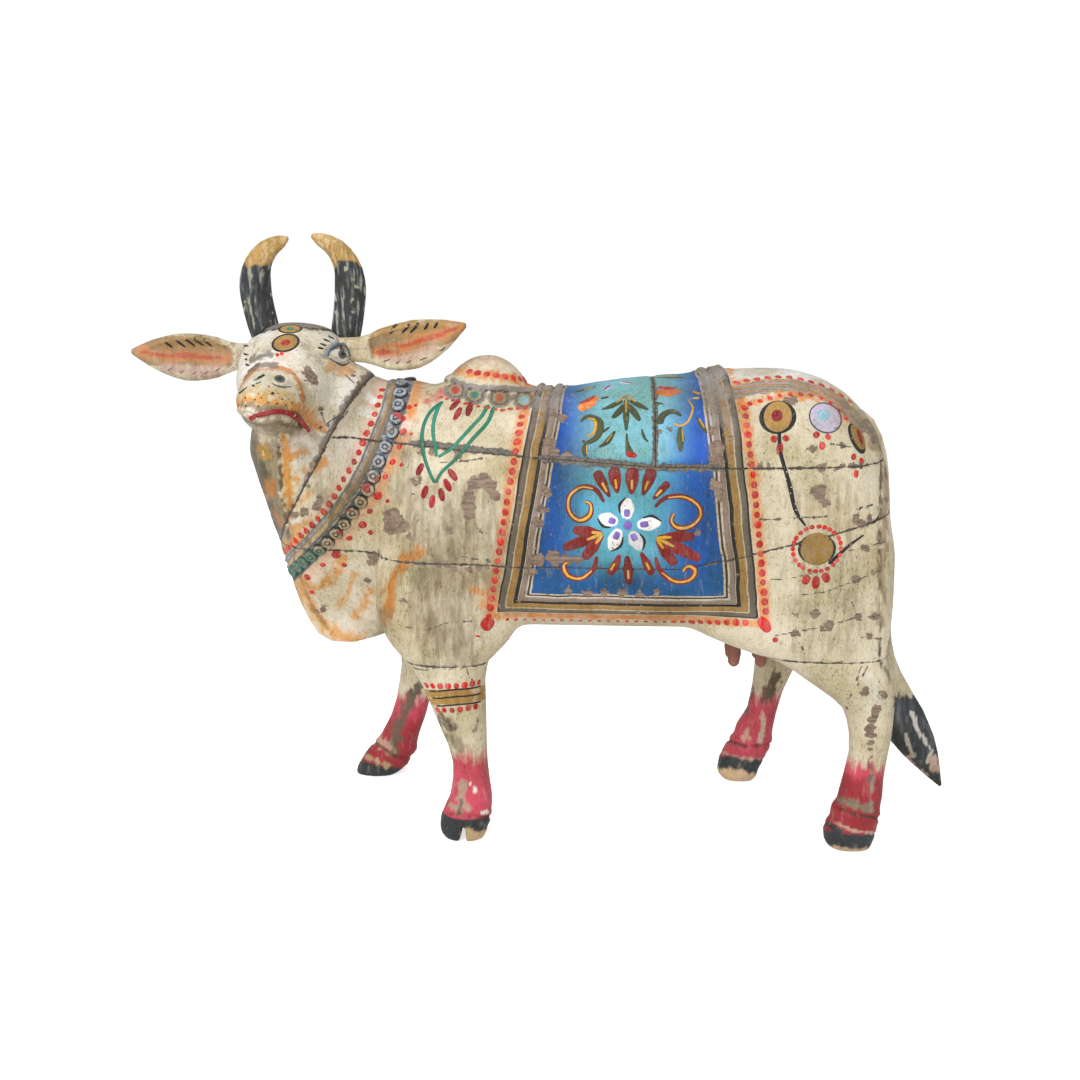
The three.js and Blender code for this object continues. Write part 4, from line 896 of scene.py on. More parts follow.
cow = {}
for name, mesh in carved.items():
    mesh.name = "carved_" + name
    smooth_faces(mesh)
    mesh.set_sharp_from_angle(angle=math.radians(48))
    co = points(mesh)
    if name in BOARDS:
        mark(mesh, on_flank(co), body_washes, BARE_SPOTS + CLOTH_SPOTS, BODY_CRACKS, seam_distance)
    elif name in LEGS:
        mark(mesh, sight(co), leg_washes(name), *LEG_MARKS[name][1:], seam_distance)
    elif name == "head":
        mark(mesh, sight(fold_face(co)), head_washes, HEAD_BARE, HEAD_CRACKS,
             lambda co: neck_distance(co) - SEAM_HALF)
    elif name in EARS:
        mark(mesh, sight(co), ear_washes(name))
    else:
        mark(mesh, sight(co), {"tail": tail_washes, "horn": horn_washes, "teat": teat_washes}[name[:4]])
    cow[name] = placed("carved_" + name, mesh)
    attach(cow[name], "root")
    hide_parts(name)


# Old paint: one node group gives every paint its mottling, rasp marks, flecks and chips down to the
# wood. The helpers below it build its nodes and those of every material.
def add(tree, kind, inputs, **settings):
    """A shader node with its settings; an input is another node's socket or a value."""
    node = tree.nodes.new("ShaderNode" + kind)
    for key, value in settings.items():
        setattr(node, key, value)
    for key, value in inputs.items():
        if isinstance(value, bpy.types.NodeSocket):
            tree.links.new(value, node.inputs[key])
        else:
            node.inputs[key].default_value = value
    return node


def field(tree, name, output="Fac"):
    return add(tree, "Attribute", {}, attribute_name=name).outputs[output]


def spot_of(tree):
    return add(tree, "TexCoord", {}).outputs["Object"]


def maths(tree, operation, *values, clamp=False):
    node = add(tree, "Math", dict(enumerate(values)), operation=operation, use_clamp=clamp)
    return node.outputs[0]


def span(tree, value, low, high, to_low=0.0, to_high=1.0):
    """A value's range stretched to another one, with soft ends."""
    inputs = {"Value": value, "From Min": low, "From Max": high, "To Min": to_low, "To Max": to_high}
    return add(tree, "MapRange", inputs, interpolation_type="SMOOTHSTEP").outputs["Result"]


def blend(tree, share, a, b, way="MIX"):
    node = add(tree, "Mix", {}, data_type="RGBA", blend_type=way)
    for socket, value in ((node.inputs[0], share), (node.inputs[6], a), (node.inputs[7], b)):
        if isinstance(value, bpy.types.NodeSocket):
            tree.links.new(value, socket)
        else:
            socket.default_value = value if isinstance(value, float) else (*value, 1)
    return node.outputs[2]


def noise(tree, place, scale, detail=4.0, rough=0.5):
    stretched = add(tree, "Mapping", {"Vector": place, "Scale": scale}).outputs[0]
    return add(tree, "TexNoise", {"Vector": stretched, "Scale": 1.0, "Detail": detail,
                                  "Roughness": rough}).outputs["Fac"]


def aged_paint():
    group = bpy.data.node_groups.new("aged_paint", "ShaderNodeTree")
    for title, way, kind in [
            ("Paint", "INPUT", "Color"), ("Wear", "INPUT", "Float"), ("Color", "OUTPUT", "Color"),
            ("Wood", "OUTPUT", "Color"), ("Rag", "OUTPUT", "Float"), ("Roughness", "OUTPUT", "Float"),
            ("Height", "OUTPUT", "Float")]:
        group.interface.new_socket(title, in_out=way, socket_type="NodeSocket" + kind)
    given = group.nodes.new("NodeGroupInput").outputs
    place = spot_of(group)
    mottle = noise(group, place, (26, 26, 26), 5, 0.6)
    stain = noise(group, place, (13, 13, 20), 4, 0.6)
    rasp = noise(group, place, (1500, 1500, 330), 3, 0.65)
    nicks = noise(group, place, (420, 420, 1700), 3, 0.6)
    sweep = noise(group, place, (300, 300, 38), 3, 0.6)
    grain = noise(group, place, (70, 700, 700), 4, 0.6)
    rag = noise(group, place, (260, 260, 260), 5, 0.6)
    fleck = noise(group, place, (620, 620, 400), 3, 0.6)
    cast = add(group, "CombineColor", {
        "Red": span(group, mottle, 0.3, 0.7, 0.80, 1.18),
        "Green": span(group, mottle, 0.3, 0.7, 0.78, 1.18),
        "Blue": span(group, mottle, 0.3, 0.7, 0.66, 1.26)}).outputs[0]
    shade = blend(group, 1.0, given["Paint"], cast, "MULTIPLY")
    stained = blend(group, span(group, stain, 0.48, 0.72, 0.0, 0.75), shade,
                    blend(group, 1.0, shade, (0.76, 0.68, 0.52), "MULTIPLY"))
    swept = blend(group, span(group, sweep, 0.5, 0.70, 0.0, 0.55), stained,
                  blend(group, 1.0, stained, (0.72, 0.65, 0.52), "MULTIPLY"))
    nicked = span(group, nicks, 0.58, 0.70, 0.0, 0.9)
    scratched = maths(group, "MAXIMUM", span(group, rasp, 0.52, 0.68), nicked)
    dirt = maths(group, "MULTIPLY", scratched, span(group, mottle, 0.35, 0.62, 1.0, 0.4))
    worked_in = blend(group, dirt, swept, blend(group, 1.0, swept, (0.46, 0.39, 0.27), "MULTIPLY"))
    wood = blend(group, span(group, grain, 0.35, 0.65), (0.15, 0.10, 0.068), (0.29, 0.21, 0.15))
    limit = maths(group, "SUBTRACT", 0.70, maths(group, "MULTIPLY", given["Wear"], 0.12))
    chips = span(group, maths(group, "SUBTRACT", rag, limit), 0.0, 0.02)
    flecks = span(group, fleck, 0.66, 0.69, 0.0, 0.85)
    bared = maths(group, "MAXIMUM", chips, flecks)
    height = maths(group, "SUBTRACT", maths(group, "MULTIPLY", rasp, -0.35), bared)
    out = group.nodes.new("NodeGroupOutput").inputs
    for title, socket in [
            ("Color", blend(group, bared, worked_in, wood)), ("Wood", wood), ("Rag", rag),
            ("Roughness", span(group, bared, 0, 1, 0.5, 0.78)), ("Height", height)]:
        group.links.new(socket, out[title])
    return group


aged = aged_paint()


def finish_paint(tree, color, roughness, height, relief=0.25):
    bump = add(tree, "Bump", {"Height": height, "Strength": 0.7, "Distance": relief * mm}).outputs["Normal"]
    shader = tree.nodes["Principled BSDF"]
    for title, socket in [("Base Color", color), ("Roughness", roughness), ("Normal", bump)]:
        tree.links.new(socket, shader.inputs[title])
    shader.inputs["Specular IOR Level"].default_value = 0.35


def new_material(name):
    material = bpy.data.materials.new(name)
    material.use_nodes = True
    return material, material.node_tree


# The cream coat of the whole carving, with the joints, cracks and bare wood. The border's colours start
# at an inset from the cloth's edge in millimetres.
# The pale stripe from 14.6 mm is a painted highlight along the edge of the inner ridge.
BORDER_COLOURS = [
    (0, (0.022, 0.022, 0.022)), (1, (0.14, 0.115, 0.085)), (4.2, (0.48, 0.40, 0.28)),
    (5, (0.32, 0.19, 0.055)), (8.8, (0.02, 0.02, 0.02)), (10.9, (0.50, 0.42, 0.30)),
    (11.4, (0.26, 0.20, 0.16)), (14.6, (0.56, 0.49, 0.41)), (15.6, (0.05, 0.038, 0.028)),
    (16.8, (0.52, 0.44, 0.32)),
]


def cream_coat():
    material, tree = new_material("cream_coat")
    coat = add(tree, "Attribute", {}, attribute_name="coat")
    inset, seam, crack = add(tree, "SeparateXYZ", {"Vector": field(tree, "lines", "Vector")}).outputs
    worn = field(tree, "worn")
    place = spot_of(tree)
    brush = noise(tree, place, (90, 90, 90), 5, 0.65)
    waver = noise(tree, place, (45, 45, 45), 2)
    fine = noise(tree, place, (600, 600, 600), 3, 0.6)
    stroke = span(tree, noise(tree, place, (260, 260, 50), 4, 0.65), 0.25, 0.75, -0.42, 0.42)
    laid = maths(tree, "ADD", maths(tree, "MULTIPLY", coat.outputs["Alpha"], 1.4), -0.2)
    cover = maths(tree, "ADD", laid, stroke, clamp=True)
    paint = blend(tree, cover, CREAM, coat.outputs["Color"])
    hand = maths(tree, "ADD", inset, span(tree, waver, 0.3, 0.7, -0.5, 0.5))
    ramp = add(tree, "ValToRGB", {"Fac": maths(tree, "DIVIDE", hand, 20.0)})
    ramp.color_ramp.interpolation = "CONSTANT"
    for index, (start, colour) in enumerate(BORDER_COLOURS):
        stop = ramp.color_ramp.elements[index] if index < 1 else ramp.color_ramp.elements.new(start / 20)
        stop.position, stop.color = start / 20, (*colour, 1)
    ramp.color_ramp.elements.remove(ramp.color_ramp.elements[-1])
    within = span(tree, hand, SIDE_BORDER - 0.1, SIDE_BORDER + 0.1, 1, 0)
    on_border = maths(tree, "MULTIPLY", span(tree, hand, -0.1, 0.1), within)
    height_up = add(tree, "SeparateXYZ", {"Vector": place}).outputs["Z"]
    rubbed = maths(tree, "MULTIPLY", span(tree, height_up, 0.245, 0.285), span(tree, brush, 0.36, 0.5))
    border = blend(tree, rubbed, ramp.outputs["Color"], (0.30, 0.275, 0.26))
    paint = blend(tree, on_border, paint, border)
    body = add(tree, "Group", {"Paint": paint, "Wear": maths(tree, "MULTIPLY", on_border, 0.7)},
               node_tree=aged)
    rag = span(tree, body.outputs["Rag"], 0.2, 0.8, -1.0, 1.0)
    bare = span(tree, maths(tree, "ADD", worn, maths(tree, "MULTIPLY", rag, 1.8)), -0.3, 0.3)
    joint = span(tree, maths(tree, "SUBTRACT", seam, maths(tree, "MULTIPLY", rag, 1.0)), 0.05, 0.35, 1, 0)
    jagged = maths(tree, "MULTIPLY", span(tree, brush, 0.3, 0.7, -0.5, 1.6), rag)
    fissure = span(tree, maths(tree, "SUBTRACT", crack, jagged), 0, 0.25, 1, 0)
    color = blend(tree, bare, body.outputs["Color"], body.outputs["Wood"])
    opened = maths(tree, "MAXIMUM", joint, fissure)
    soiled = blend(tree, span(tree, fine, 0.35, 0.65), (0.075, 0.062, 0.05), (0.17, 0.15, 0.12))
    color = blend(tree, opened, color, soiled)
    sunken = maths(tree, "MULTIPLY", maths(tree, "MAXIMUM", bare, opened), 1.5)
    height = maths(tree, "SUBTRACT", body.outputs["Height"], sunken)
    finish_paint(tree, color, body.outputs["Roughness"], height)
    return material


cream = cream_coat()
for name in cow:
    cow[name].data.materials.clear()
    cow[name].data.materials.append(cream)
turned, tree = new_material("turned_wood")
place = spot_of(tree)
figure = noise(tree, place, (120, 900, 900), 4, 0.6)
finish_paint(tree, blend(tree, span(tree, figure, 0.35, 0.65), (0.16, 0.085, 0.04), (0.36, 0.22, 0.12)),
             span(tree, figure, 0.3, 0.7, 0.6, 0.75), figure)
for name in PEGS:
    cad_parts[name].data.materials.clear()
    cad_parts[name].data.materials.append(turned)

# Brush paint: each dab is a thin closed body laid on the carving, made from a sphere that is drawn out
# along its path. Dabs of one colour are joined to one piece for each part of the ornament.
ground = bmesh.new()
for mesh in [block, head_skin] + [carved[name] for name in LET_IN + ["tail"]]:
    ground.from_mesh(mesh)
paint_on = BVHTree.FromBMesh(ground)
ground.free()
pots = {}
SUNK, LAYER = 0.18, 0.12


def heading(turn, long):
    """A way of a length, turned from level in degrees."""
    return np.array((math.cos(math.radians(turn)), math.sin(math.radians(turn)))) * long


def pot_of(name):
    """The bmesh that gathers the dabs of one name, and its layer for their tone."""
    bm = pots.setdefault(name, bmesh.new())
    return bm, bm.verts.layers.float.get("tone") or bm.verts.layers.float.new("tone")


def land(x, z, side):
    """Where the line of sight through a place on the flank meets the carving, or its twin across the face."""
    if side == "face":
        spot = land(x, z, 1)
        return spot and spot - Vector(FACE_LEFT) * 2 * (spot - SKULL).dot(Vector(FACE_LEFT))
    eye = Vector((EYE.x, MIDDLE - side * (MIDDLE - EYE.y), EYE.z))
    aim = Vector((x * mm, MIDDLE - side * (MIDDLE - FLANK_Y), z * mm))
    return paint_on.ray_cast(eye, aim - eye)[0]


def curve_through(spots, count):
    """Evenly spread points of a smooth curve through some spots."""
    spots = [np.array(p, float) for p in spots]
    ends = [2 * spots[0] - spots[1]] + spots + [2 * spots[-1] - spots[-2]]
    dense = []
    for a, b, c, d in zip(ends, ends[1:], ends[2:], ends[3:]):
        for t in np.linspace(0, 1, 12, endpoint=False):
            dense.append(0.5 * (2 * b + (c - a) * t + (2 * a - 5 * b + 4 * c - d) * t * t
                                + (3 * b - a - 3 * c + d) * t ** 3))
    dense = np.array(dense + [spots[-1]])
    way = np.concatenate([[0], np.cumsum(np.linalg.norm(np.diff(dense, axis=0), axis=1))])
    steps = np.linspace(0, way[-1], count)
    return np.stack([np.interp(steps, way, dense[:, k]) for k in range(dense.shape[1])], axis=1), way[-1]


def dab(pot, path, width, layer=0, sides=(1, -1), across=8, thick=0.4, oval=False):
    """A dab along a path on the flank; its width is a number, or one for each end and between.

    A dot has one spot, and an oval has its two ends."""
    bm, tone_layer = pot_of(pot)
    tone = random.random()
    widths = np.atleast_1d(width).astype(float) * mm
    for side in sides:
        spots = [spot for spot in (land(x, z, side) for x, z in path) if spot is not None]
        if len(spots) < min(2, len(path)):
            continue
        rounded = oval or len(path) == 1
        if len(path) == 1:
            normal = paint_on.find_nearest(spots[0])[1]
            level = (0, 1, 0) if abs(normal.y) < 0.9 else (1, 0, 0)
            along = normal.cross(level).normalized() * widths[0] / 2
            spots = [spots[0] - along, spots[0] + along]
        rings = int(np.clip(sum((b - a).length for a, b in zip(spots, spots[1:])) / (1.6 * mm), 5, 40))
        spine, length = curve_through(spots, 60)
        for vert in bmesh.ops.create_uvsphere(bm, u_segments=across, v_segments=rings, radius=1)["verts"]:
            angle = math.acos(max(-1, min(1, vert.co.z)))
            at = (1 - vert.co.z) / 2 if rounded else angle / math.pi
            wide = np.interp(at, np.linspace(0, 1, len(widths)), widths) / 2
            to_end = min(at, 1 - at) * length
            inwards = 1 - min(1, to_end / max(wide, 1e-5))
            cap = math.sin(angle) if rounded else math.sqrt(max(0, 1 - inwards ** 2))
            cap = 0 if cap < 1e-3 else cap
            flat = Vector((vert.co.x, vert.co.y, 0))
            flat = flat.normalized() if flat.length > 1e-4 else flat
            place = at * (len(spine) - 1)
            ahead = min(int(place), len(spine) - 2)
            centre = Vector(spine[ahead] + (spine[ahead + 1] - spine[ahead]) * (place - ahead))
            normal = paint_on.find_nearest(centre)[1]
            onward = Vector(spine[ahead + 1] - spine[ahead])
            edge = centre + normal.cross(onward).normalized() * flat.x * wide * cap
            spot, normal = paint_on.find_nearest(edge)[:2]
            top = flat.y > 0.05 and cap > 0
            up = thick * min(1, 1.8 * flat.y) * min(1, 2 * cap) + LAYER * layer if top else 0
            vert.co = spot + normal * (up - SUNK) * mm
            vert[tone_layer] = tone


def row(pot, line, step, width, jitter=0.12, long=0, **how):
    """Round dabs along a line, or longish ones, evenly spaced on the carved surface."""
    flat, _ = curve_through(line, 60)
    hits = [land(x, z, 1) for x, z in flat]
    kept = [(spot, hit) for spot, hit in zip(flat, hits) if hit is not None]
    way = np.concatenate([[0], np.cumsum([(b[1] - a[1]).length / mm for a, b in zip(kept, kept[1:])])])
    for at in np.arange(0, way[-1], step):
        path = [tuple(np.interp(end, way, [spot[k] for spot, _ in kept]) for k in (0, 1))
                for end in (at, at + long)]
        dab(pot, path if long else path[:1], width * random.uniform(1 - jitter, 1 + jitter), **how)


def leaf(pot, x, z, turn, long, widths):
    """A dab round a spot, turned from level in degrees."""
    way = heading(turn, long / 2)
    dab(pot, [(x - way[0], z - way[1]), (x, z), (x + way[0], z + way[1])], widths)


def stamp(pot, centre, size, turn=0.0, layer=0, sides=(1, -1), across=24):
    """An oval of the width and height that the camera sees, laid on the carving along the lines of sight."""
    bm, tone_layer = pot_of(pot)
    tone = random.random()
    c, s = math.cos(math.radians(turn)), math.sin(math.radians(turn))
    for side in sides:
        middle = land(*centre, side)
        for vert in bmesh.ops.create_uvsphere(bm, u_segments=across, v_segments=10, radius=1)["verts"]:
            x, z = vert.co.x * size[0] / 2, vert.co.y * size[1] / 2
            spot = land(centre[0] + c * x - s * z, centre[1] + s * x + c * z, side) or middle
            spot = spot if (spot - middle).length < 2 * max(size) * mm else middle
            up = 0.4 * min(1, 2.5 * vert.co.z) + LAYER * layer if vert.co.z > 0.05 else 0
            vert.co = spot + paint_on.find_nearest(spot)[1] * (up - SUNK) * mm
            vert[tone_layer] = tone


def edge_line(inset, front, low, high):
    """Spots along the cloth's front or back edge, at an inset from it, as the camera sees them."""
    lean, start, way = (FRONT_LEAN, CLOTH_FRONT, 1) if front else (-REAR_LEAN, CLOTH_REAR, -1)
    line = []
    for z in np.linspace(low, high, 6):
        x = start - lean * (CLOTH_TOP - z) + way * inset
        share = 1 - 0.00042 * max(0, z - 225)
        line.append((EYE.x / mm + (x - EYE.x / mm) * share, z))
    return line


# Dots round the saddle cloth, in four rows and four larger drops. From here on, each dab draws its tone
# at random, so that the order of the dabs counts.
random.seed(11)
row("red_cloth_dots", edge_line(-4.2, True, 150, 268), 5.9, 4.6)
row("red_cloth_dots", edge_line(-4.2, False, 156, 276), 5.7, 4.4)
row("red_cloth_dots", [(72, 149), (116, 149)], 5.3, 4.2)
row("red_cloth_dots", [(-24, 148.8), (68, 148.8)], 5.5, 2.6)
for path, width in [
        ([(-33, 150), (-36, 145.5), (-39, 142)], 8.5), ([(-41, 139), (-41.5, 137.5)], 4.6),
        ([(120.5, 153.5), (127, 143)], (3, 7.5, 4)), ([(130.5, 139)], 3.6)]:
    dab("red_cloth_dots", path, width, across=12)

# Flower of the lower panel, with its rays, arrow leaves and scrolls. Maroon dabs carry yellow ones, and
# the white petals carry purple ones and a black rim on one side.
for path, width in [
        ([(26, 237), (34.5, 221)], (7, 6.5, 1.6)), ([(36, 239), (38.5, 223)], (9, 8, 1.6)),
        ([(46.5, 239), (46.5, 222.5)], (9.5, 8.5, 2)), ([(58, 238.5), (52.5, 222)], (9, 7.5, 1.6)),
        ([(67.5, 231), (58, 220)], (5, 5, 1.6)), ([(40.5, 189), (38, 182), (34, 176)], (2, 6, 5)),
        ([(44.5, 188.5), (46, 170)], (2.5, 7, 4)), ([(52, 190.5), (59.5, 176)], (2, 6, 5))]:
    dab("maroon_cloth_rays", path, width)
    foot, tip = np.array(path[0]), np.array(path[-1])
    dab("yellow_cloth_rays", [foot * 0.62 + tip * 0.38, tip * 0.85 + foot * 0.15], 1.7, layer=1)
scrolls = [
    [(31.5, 218), (26, 226), (18, 227), (11.5, 221.5), (11.5, 213), (17, 208), (23, 211), (23.5, 217.5),
     (19.5, 219)],
    [(59, 215.5), (65.5, 221.5), (76, 222), (84, 217), (85, 210.5), (79.5, 205), (72.5, 204.5),
     (69, 208.5), (71, 213.5)],
    [(27.5, 188), (25.5, 179.5), (18.5, 174), (11, 175.5), (8.5, 181.5), (12, 184)],
    [(60.5, 188), (63.5, 179), (72, 173), (80.5, 174), (83.5, 179.5), (79, 182), (76, 178)],
]
for path in scrolls:
    dab("maroon_cloth_scrolls", path, (2, 3.6, 3.6, 3.6, 4.4, 2))
    dab("yellow_cloth_scrolls", path[1:], (0.8, 1.6, 1.6, 2.2, 1), layer=1)
for tip, ends in [
        ((31, 200.5), [(13, 202.5), (7.5, 191.5), (19.5, 185)]),
        ((60.5, 198.5), [(83, 199.5), (86.5, 186), (72.5, 182)])]:
    for end in ends:
        foot, head = np.array(end), np.array(tip)
        dab("maroon_cloth_arrows", [foot, (foot + head) / 2, head], (5, 7.5, 2), across=12)
        dab("yellow_cloth_arrows", [foot * 0.45 + head * 0.55, head], (1, 2.6, 1.2), layer=1)
for x, z, turn, long in [
        (44, 215, 90, 14), (33.5, 208.5, 165, 13), (56.5, 206.5, 8, 15), (37.5, 197, 250, 15),
        (49.5, 196.5, 300, 14)]:
    heart, way, across = np.array((x, z)), heading(turn, long / 2), heading(turn + 90, 1)
    dab("white_cloth_petals", [heart - way, heart, heart + way], (4, 9.5, 3.5), across=12)
    dab("purple_cloth_petals", [heart - way * 0.8, heart + way * 0.1], (3, 5, 4), layer=1)
    rim = [heart - way * 0.5 + across * 3.6, heart + way * 0.3 + across * 4.2, heart + way * 1.02]
    dab("black_cloth_petals", rim, (0.8, 2, 0.6), layer=1)
dab("purple_cloth_petals", [(44.5, 205.5)], 5.5, layer=1, across=12)

# Plant of the upper panel: dark leaves with yellow strokes on them, orange buds with red ones, and
# white petals on the ridge.
for path, width in [
        ([(28.5, 270.5), (34, 272.5), (41, 276)], (1, 4.6, 3)),
        ([(34.5, 265.5), (38, 269), (42, 274)], (2.5, 5, 3)),
        ([(55.5, 270.5), (50, 273), (44, 276)], (1, 4.6, 3)),
        ([(50.5, 264), (47.5, 268.5), (43.5, 274)], (2.5, 5, 3)),
        ([(42.5, 277), (42.8, 258.5)], (3, 4.5, 4, 1.4)),
        ([(43, 258.5), (43.5, 252), (45.3, 245)], (0.8, 2.5, 6.5)),
        ([(27, 249.5), (32, 252.5), (37.2, 259.5)], (1, 4, 1)),
        ([(29, 257.5), (34, 261.5)], (0.8, 2, 0.8)), ([(51, 261), (53, 255), (56, 252.5)], (0.8, 2, 1)),
        ([(28, 276.5), (33.5, 278)], (1, 3, 1.4)), ([(13.5, 280), (19, 281.5), (26.5, 283.5)], (1, 4, 1)),
        ([(58, 288), (66, 288.5), (74, 288.5)], (1, 3, 1)),
        ([(17, 263.5), (21.5, 267), (28, 263.5), (27, 256), (20.5, 252), (18.5, 254.5)],
         (1.5, 4, 5.5, 5, 3.5, 1.5)),
        ([(19.5, 252), (20.5, 243.5)], (2, 4.5, 1.6)),
        ([(61, 262), (62.5, 267.5), (68, 270), (73.5, 267)], (5, 5, 4, 1.6)),
        ([(72.5, 262), (73, 247)], (2, 5.5, 2)), ([(81, 267.5), (87.5, 257.5)], (1, 3.6, 1.2)),
        ([(58, 275), (63.5, 273.5)], (0.8, 1.6, 0.6))]:
    dab("leaf_cloth_plant", path, width)
for path, width in [
        ([(42.5, 279), (42.5, 268)], (1.4, 2.2, 1)),
        ([(35.5, 274), (39, 275.5), (42, 279)], (0.6, 1.4, 1)),
        ([(49, 274.5), (46, 276), (43, 279)], (0.6, 1.4, 1)),
        ([(20.5, 266), (25.5, 264.5), (25, 258), (20, 255)], (0.8, 2, 2, 0.8)),
        ([(21, 251.5), (21.2, 244.5)], 1), ([(31, 251.5), (36, 258)], 1.1),
        ([(75.5, 277), (79, 272), (77, 265), (73, 262), (68, 263.5)], (0.6, 1.5, 1.5, 1.3)),
        ([(73.5, 261), (74.5, 252)], 1), ([(82, 267), (86.5, 260)], 1.3),
        ([(78, 281), (83.5, 279.5)], 1.8), ([(78.5, 277.2), (83, 277.2)], 1.6),
        ([(18, 281), (25, 283)], 1.4), ([(60, 288.5), (71, 289)], 1.2)]:
    dab("yellow_cloth_plant", path, width, layer=1)
for path, width in [
        ([(15.5, 270.5), (21, 273.5), (27, 278.5)], (6, 9, 3)),
        ([(58, 281), (65, 280), (73, 281.5)], (4, 8, 3))]:
    dab("orange_cloth_buds", path, width, across=12)
for path, width in [
        ([(16.5, 274), (21, 275.5), (26, 278.5)], (2.5, 4.5, 2)),
        ([(59, 283), (65, 282.5), (70, 283)], (3, 3.6, 1.5)), ([(42, 246.5), (49.5, 245)], (2.5, 4, 3))]:
    dab("red_cloth_buds", path, width, layer=1)
for path, width in [([(29.5, 281), (35, 284.5)], (4, 5, 3)), ([(38.5, 286), (46, 285)], (3, 5, 4))]:
    dab("white_cloth_ridge", path, width)
    dab("purple_cloth_ridge", path, (1.5, 2.6, 1.5), layer=1)

# Heart of green lines on the shoulder, with its red petals below and on the upper right. Each petal has
# its place and its turn in degrees.
for path in [
        [(-58.5, 275), (-66.5, 268.5), (-71, 258), (-71, 247.5), (-68.5, 237.5), (-64.5, 228)],
        [(-60, 274.5), (-63.5, 267), (-65, 258), (-63, 243)],
        [(-33.5, 273.5), (-39, 265), (-53, 250), (-63, 243)],
        [(-30.5, 272.5), (-34.5, 263), (-44, 252.5), (-52, 243), (-60.5, 235), (-64.5, 228)]]:
    dab("green_heart", path, (3, 2.8, 2.2))
for x, z, turn in [
        (-73, 236.5, 62), (-70.5, 223.5, 68), (-66.5, 218, 78), (-61, 222, 100), (-57.5, 227.5, 115),
        (-54.5, 233.5, 125), (-52.5, 273, 50), (-51, 268, 62), (-44.5, 270.5, 75)]:
    leaf("crimson_heart_petals", x, z, turn, 9.4, (2.6, 5, 2.4))

# Dots before the collar and drops behind it, and dots over and under the hump's garland. Each drop has
# its place and its width.
row("red_collar_dots", [(-93, 281), (-97.5, 268), (-103, 256), (-109, 243), (-117, 230), (-125, 217),
                        (-137, 203), (-150, 191), (-155, 186)], 6.2, 4.4)
for x, z, wide in [
        (-73.5, 271.5, 3), (-70, 272.5, 2), (-77, 265, 3), (-77.5, 257.5, 4.4), (-73, 256.5, 2),
        (-80, 249, 3), (-84, 240.5, 3.8), (-79, 239, 2.4), (-88.5, 232, 3.4), (-93, 221, 5.4),
        (-87.5, 218, 2.6), (-98, 212, 3.6), (-102.5, 204, 5.4), (-98, 199.5, 3.6), (-110.5, 196, 3.8),
        (-123, 186, 5.6), (-118.5, 180, 3.5), (-131, 180, 3.5), (-140.5, 172.5, 5), (-138.5, 163.5, 3.5)]:
    x -= 4.4 * (z > 190)
    dab("red_collar_drops", [(x - wide * 0.3, z + wide * 0.4), (x + wide * 0.3, z - wide * 0.4)],
        wide * 1.35)
row("red_hump_dots", [(-44, 291.4), (-38.5, 290.4), (-24, 288.6), (-9, 286.2)], 5.6, 4.7)
row("red_hump_dots", [(-60, 277), (-50, 274.5), (-42, 272.5), (-34, 271.5)], 4.2, 2.6)
row("red_hump_dots", [(-34, 271.5), (-27, 270), (-20, 271), (-13, 271.5)], 4.6, 3.2)

# Turned buttons on the collar, each spun from its profile, as far apart as the row has room for.
# The profile gives a radius and a height in millimetres, and how pale the paint is: rubbed to its ground
# and painted as highlight on the crests, and darkened as painted shade in the hollows.
BUTTON = [
    (0, 1.7, 0.8), (1, 1.6, 0.8), (1.3, 1.1, 0.1), (1.6, 1.1, 0), (2, 1.6, 0.7), (3, 1.8, 0.9),
    (3.8, 1.3, 0.6), (4.2, 0.3, 0.1), (4.3, -0.8, 0), (0, -0.8, 0),
]


def button(spot, normal, wide):
    bm = bmesh.new()
    tone = bm.verts.layers.float.new("tone")
    verts = []
    for radius, height, rubbed in BUTTON:
        verts.append(bm.verts.new((radius * wide / 8.4 * mm, 0, height * mm)))
        verts[-1][tone] = rubbed
    edges = [bm.edges.new(pair) for pair in zip(verts, verts[1:])]
    bmesh.ops.spin(bm, geom=verts + edges, axis=(0, 0, 1), cent=(0, 0, 0), steps=16, angle=math.tau)
    bmesh.ops.remove_doubles(bm, verts=bm.verts, dist=1e-6)
    bmesh.ops.recalc_face_normals(bm, faces=bm.faces)
    turn = normal.to_track_quat("Z", "Y").to_matrix().to_4x4()
    bmesh.ops.transform(bm, matrix=Matrix.Translation(spot) @ turn, verts=bm.verts)
    return bm


def buttons():
    """A row of buttons down both sides of the neck."""
    bm = bmesh.new()
    for side in (1, -1):
        last = Vector((9, 9, 9))
        for x, z in curve_through(BEAD_LINE, 160)[0]:
            spot = land(x, z, side)
            if spot is not None and (spot - last).length > 8.6 * mm:
                last = spot
                part = mesh_of(button(spot, paint_on.find_nearest(spot)[1], random.uniform(7.9, 8.7)),
                               "button")
                bm.from_mesh(part)
    return mesh_of(bm, "collar_buttons")


button_row = placed("collar_buttons", buttons())
smooth_faces(button_row.data)
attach(button_row, "root")

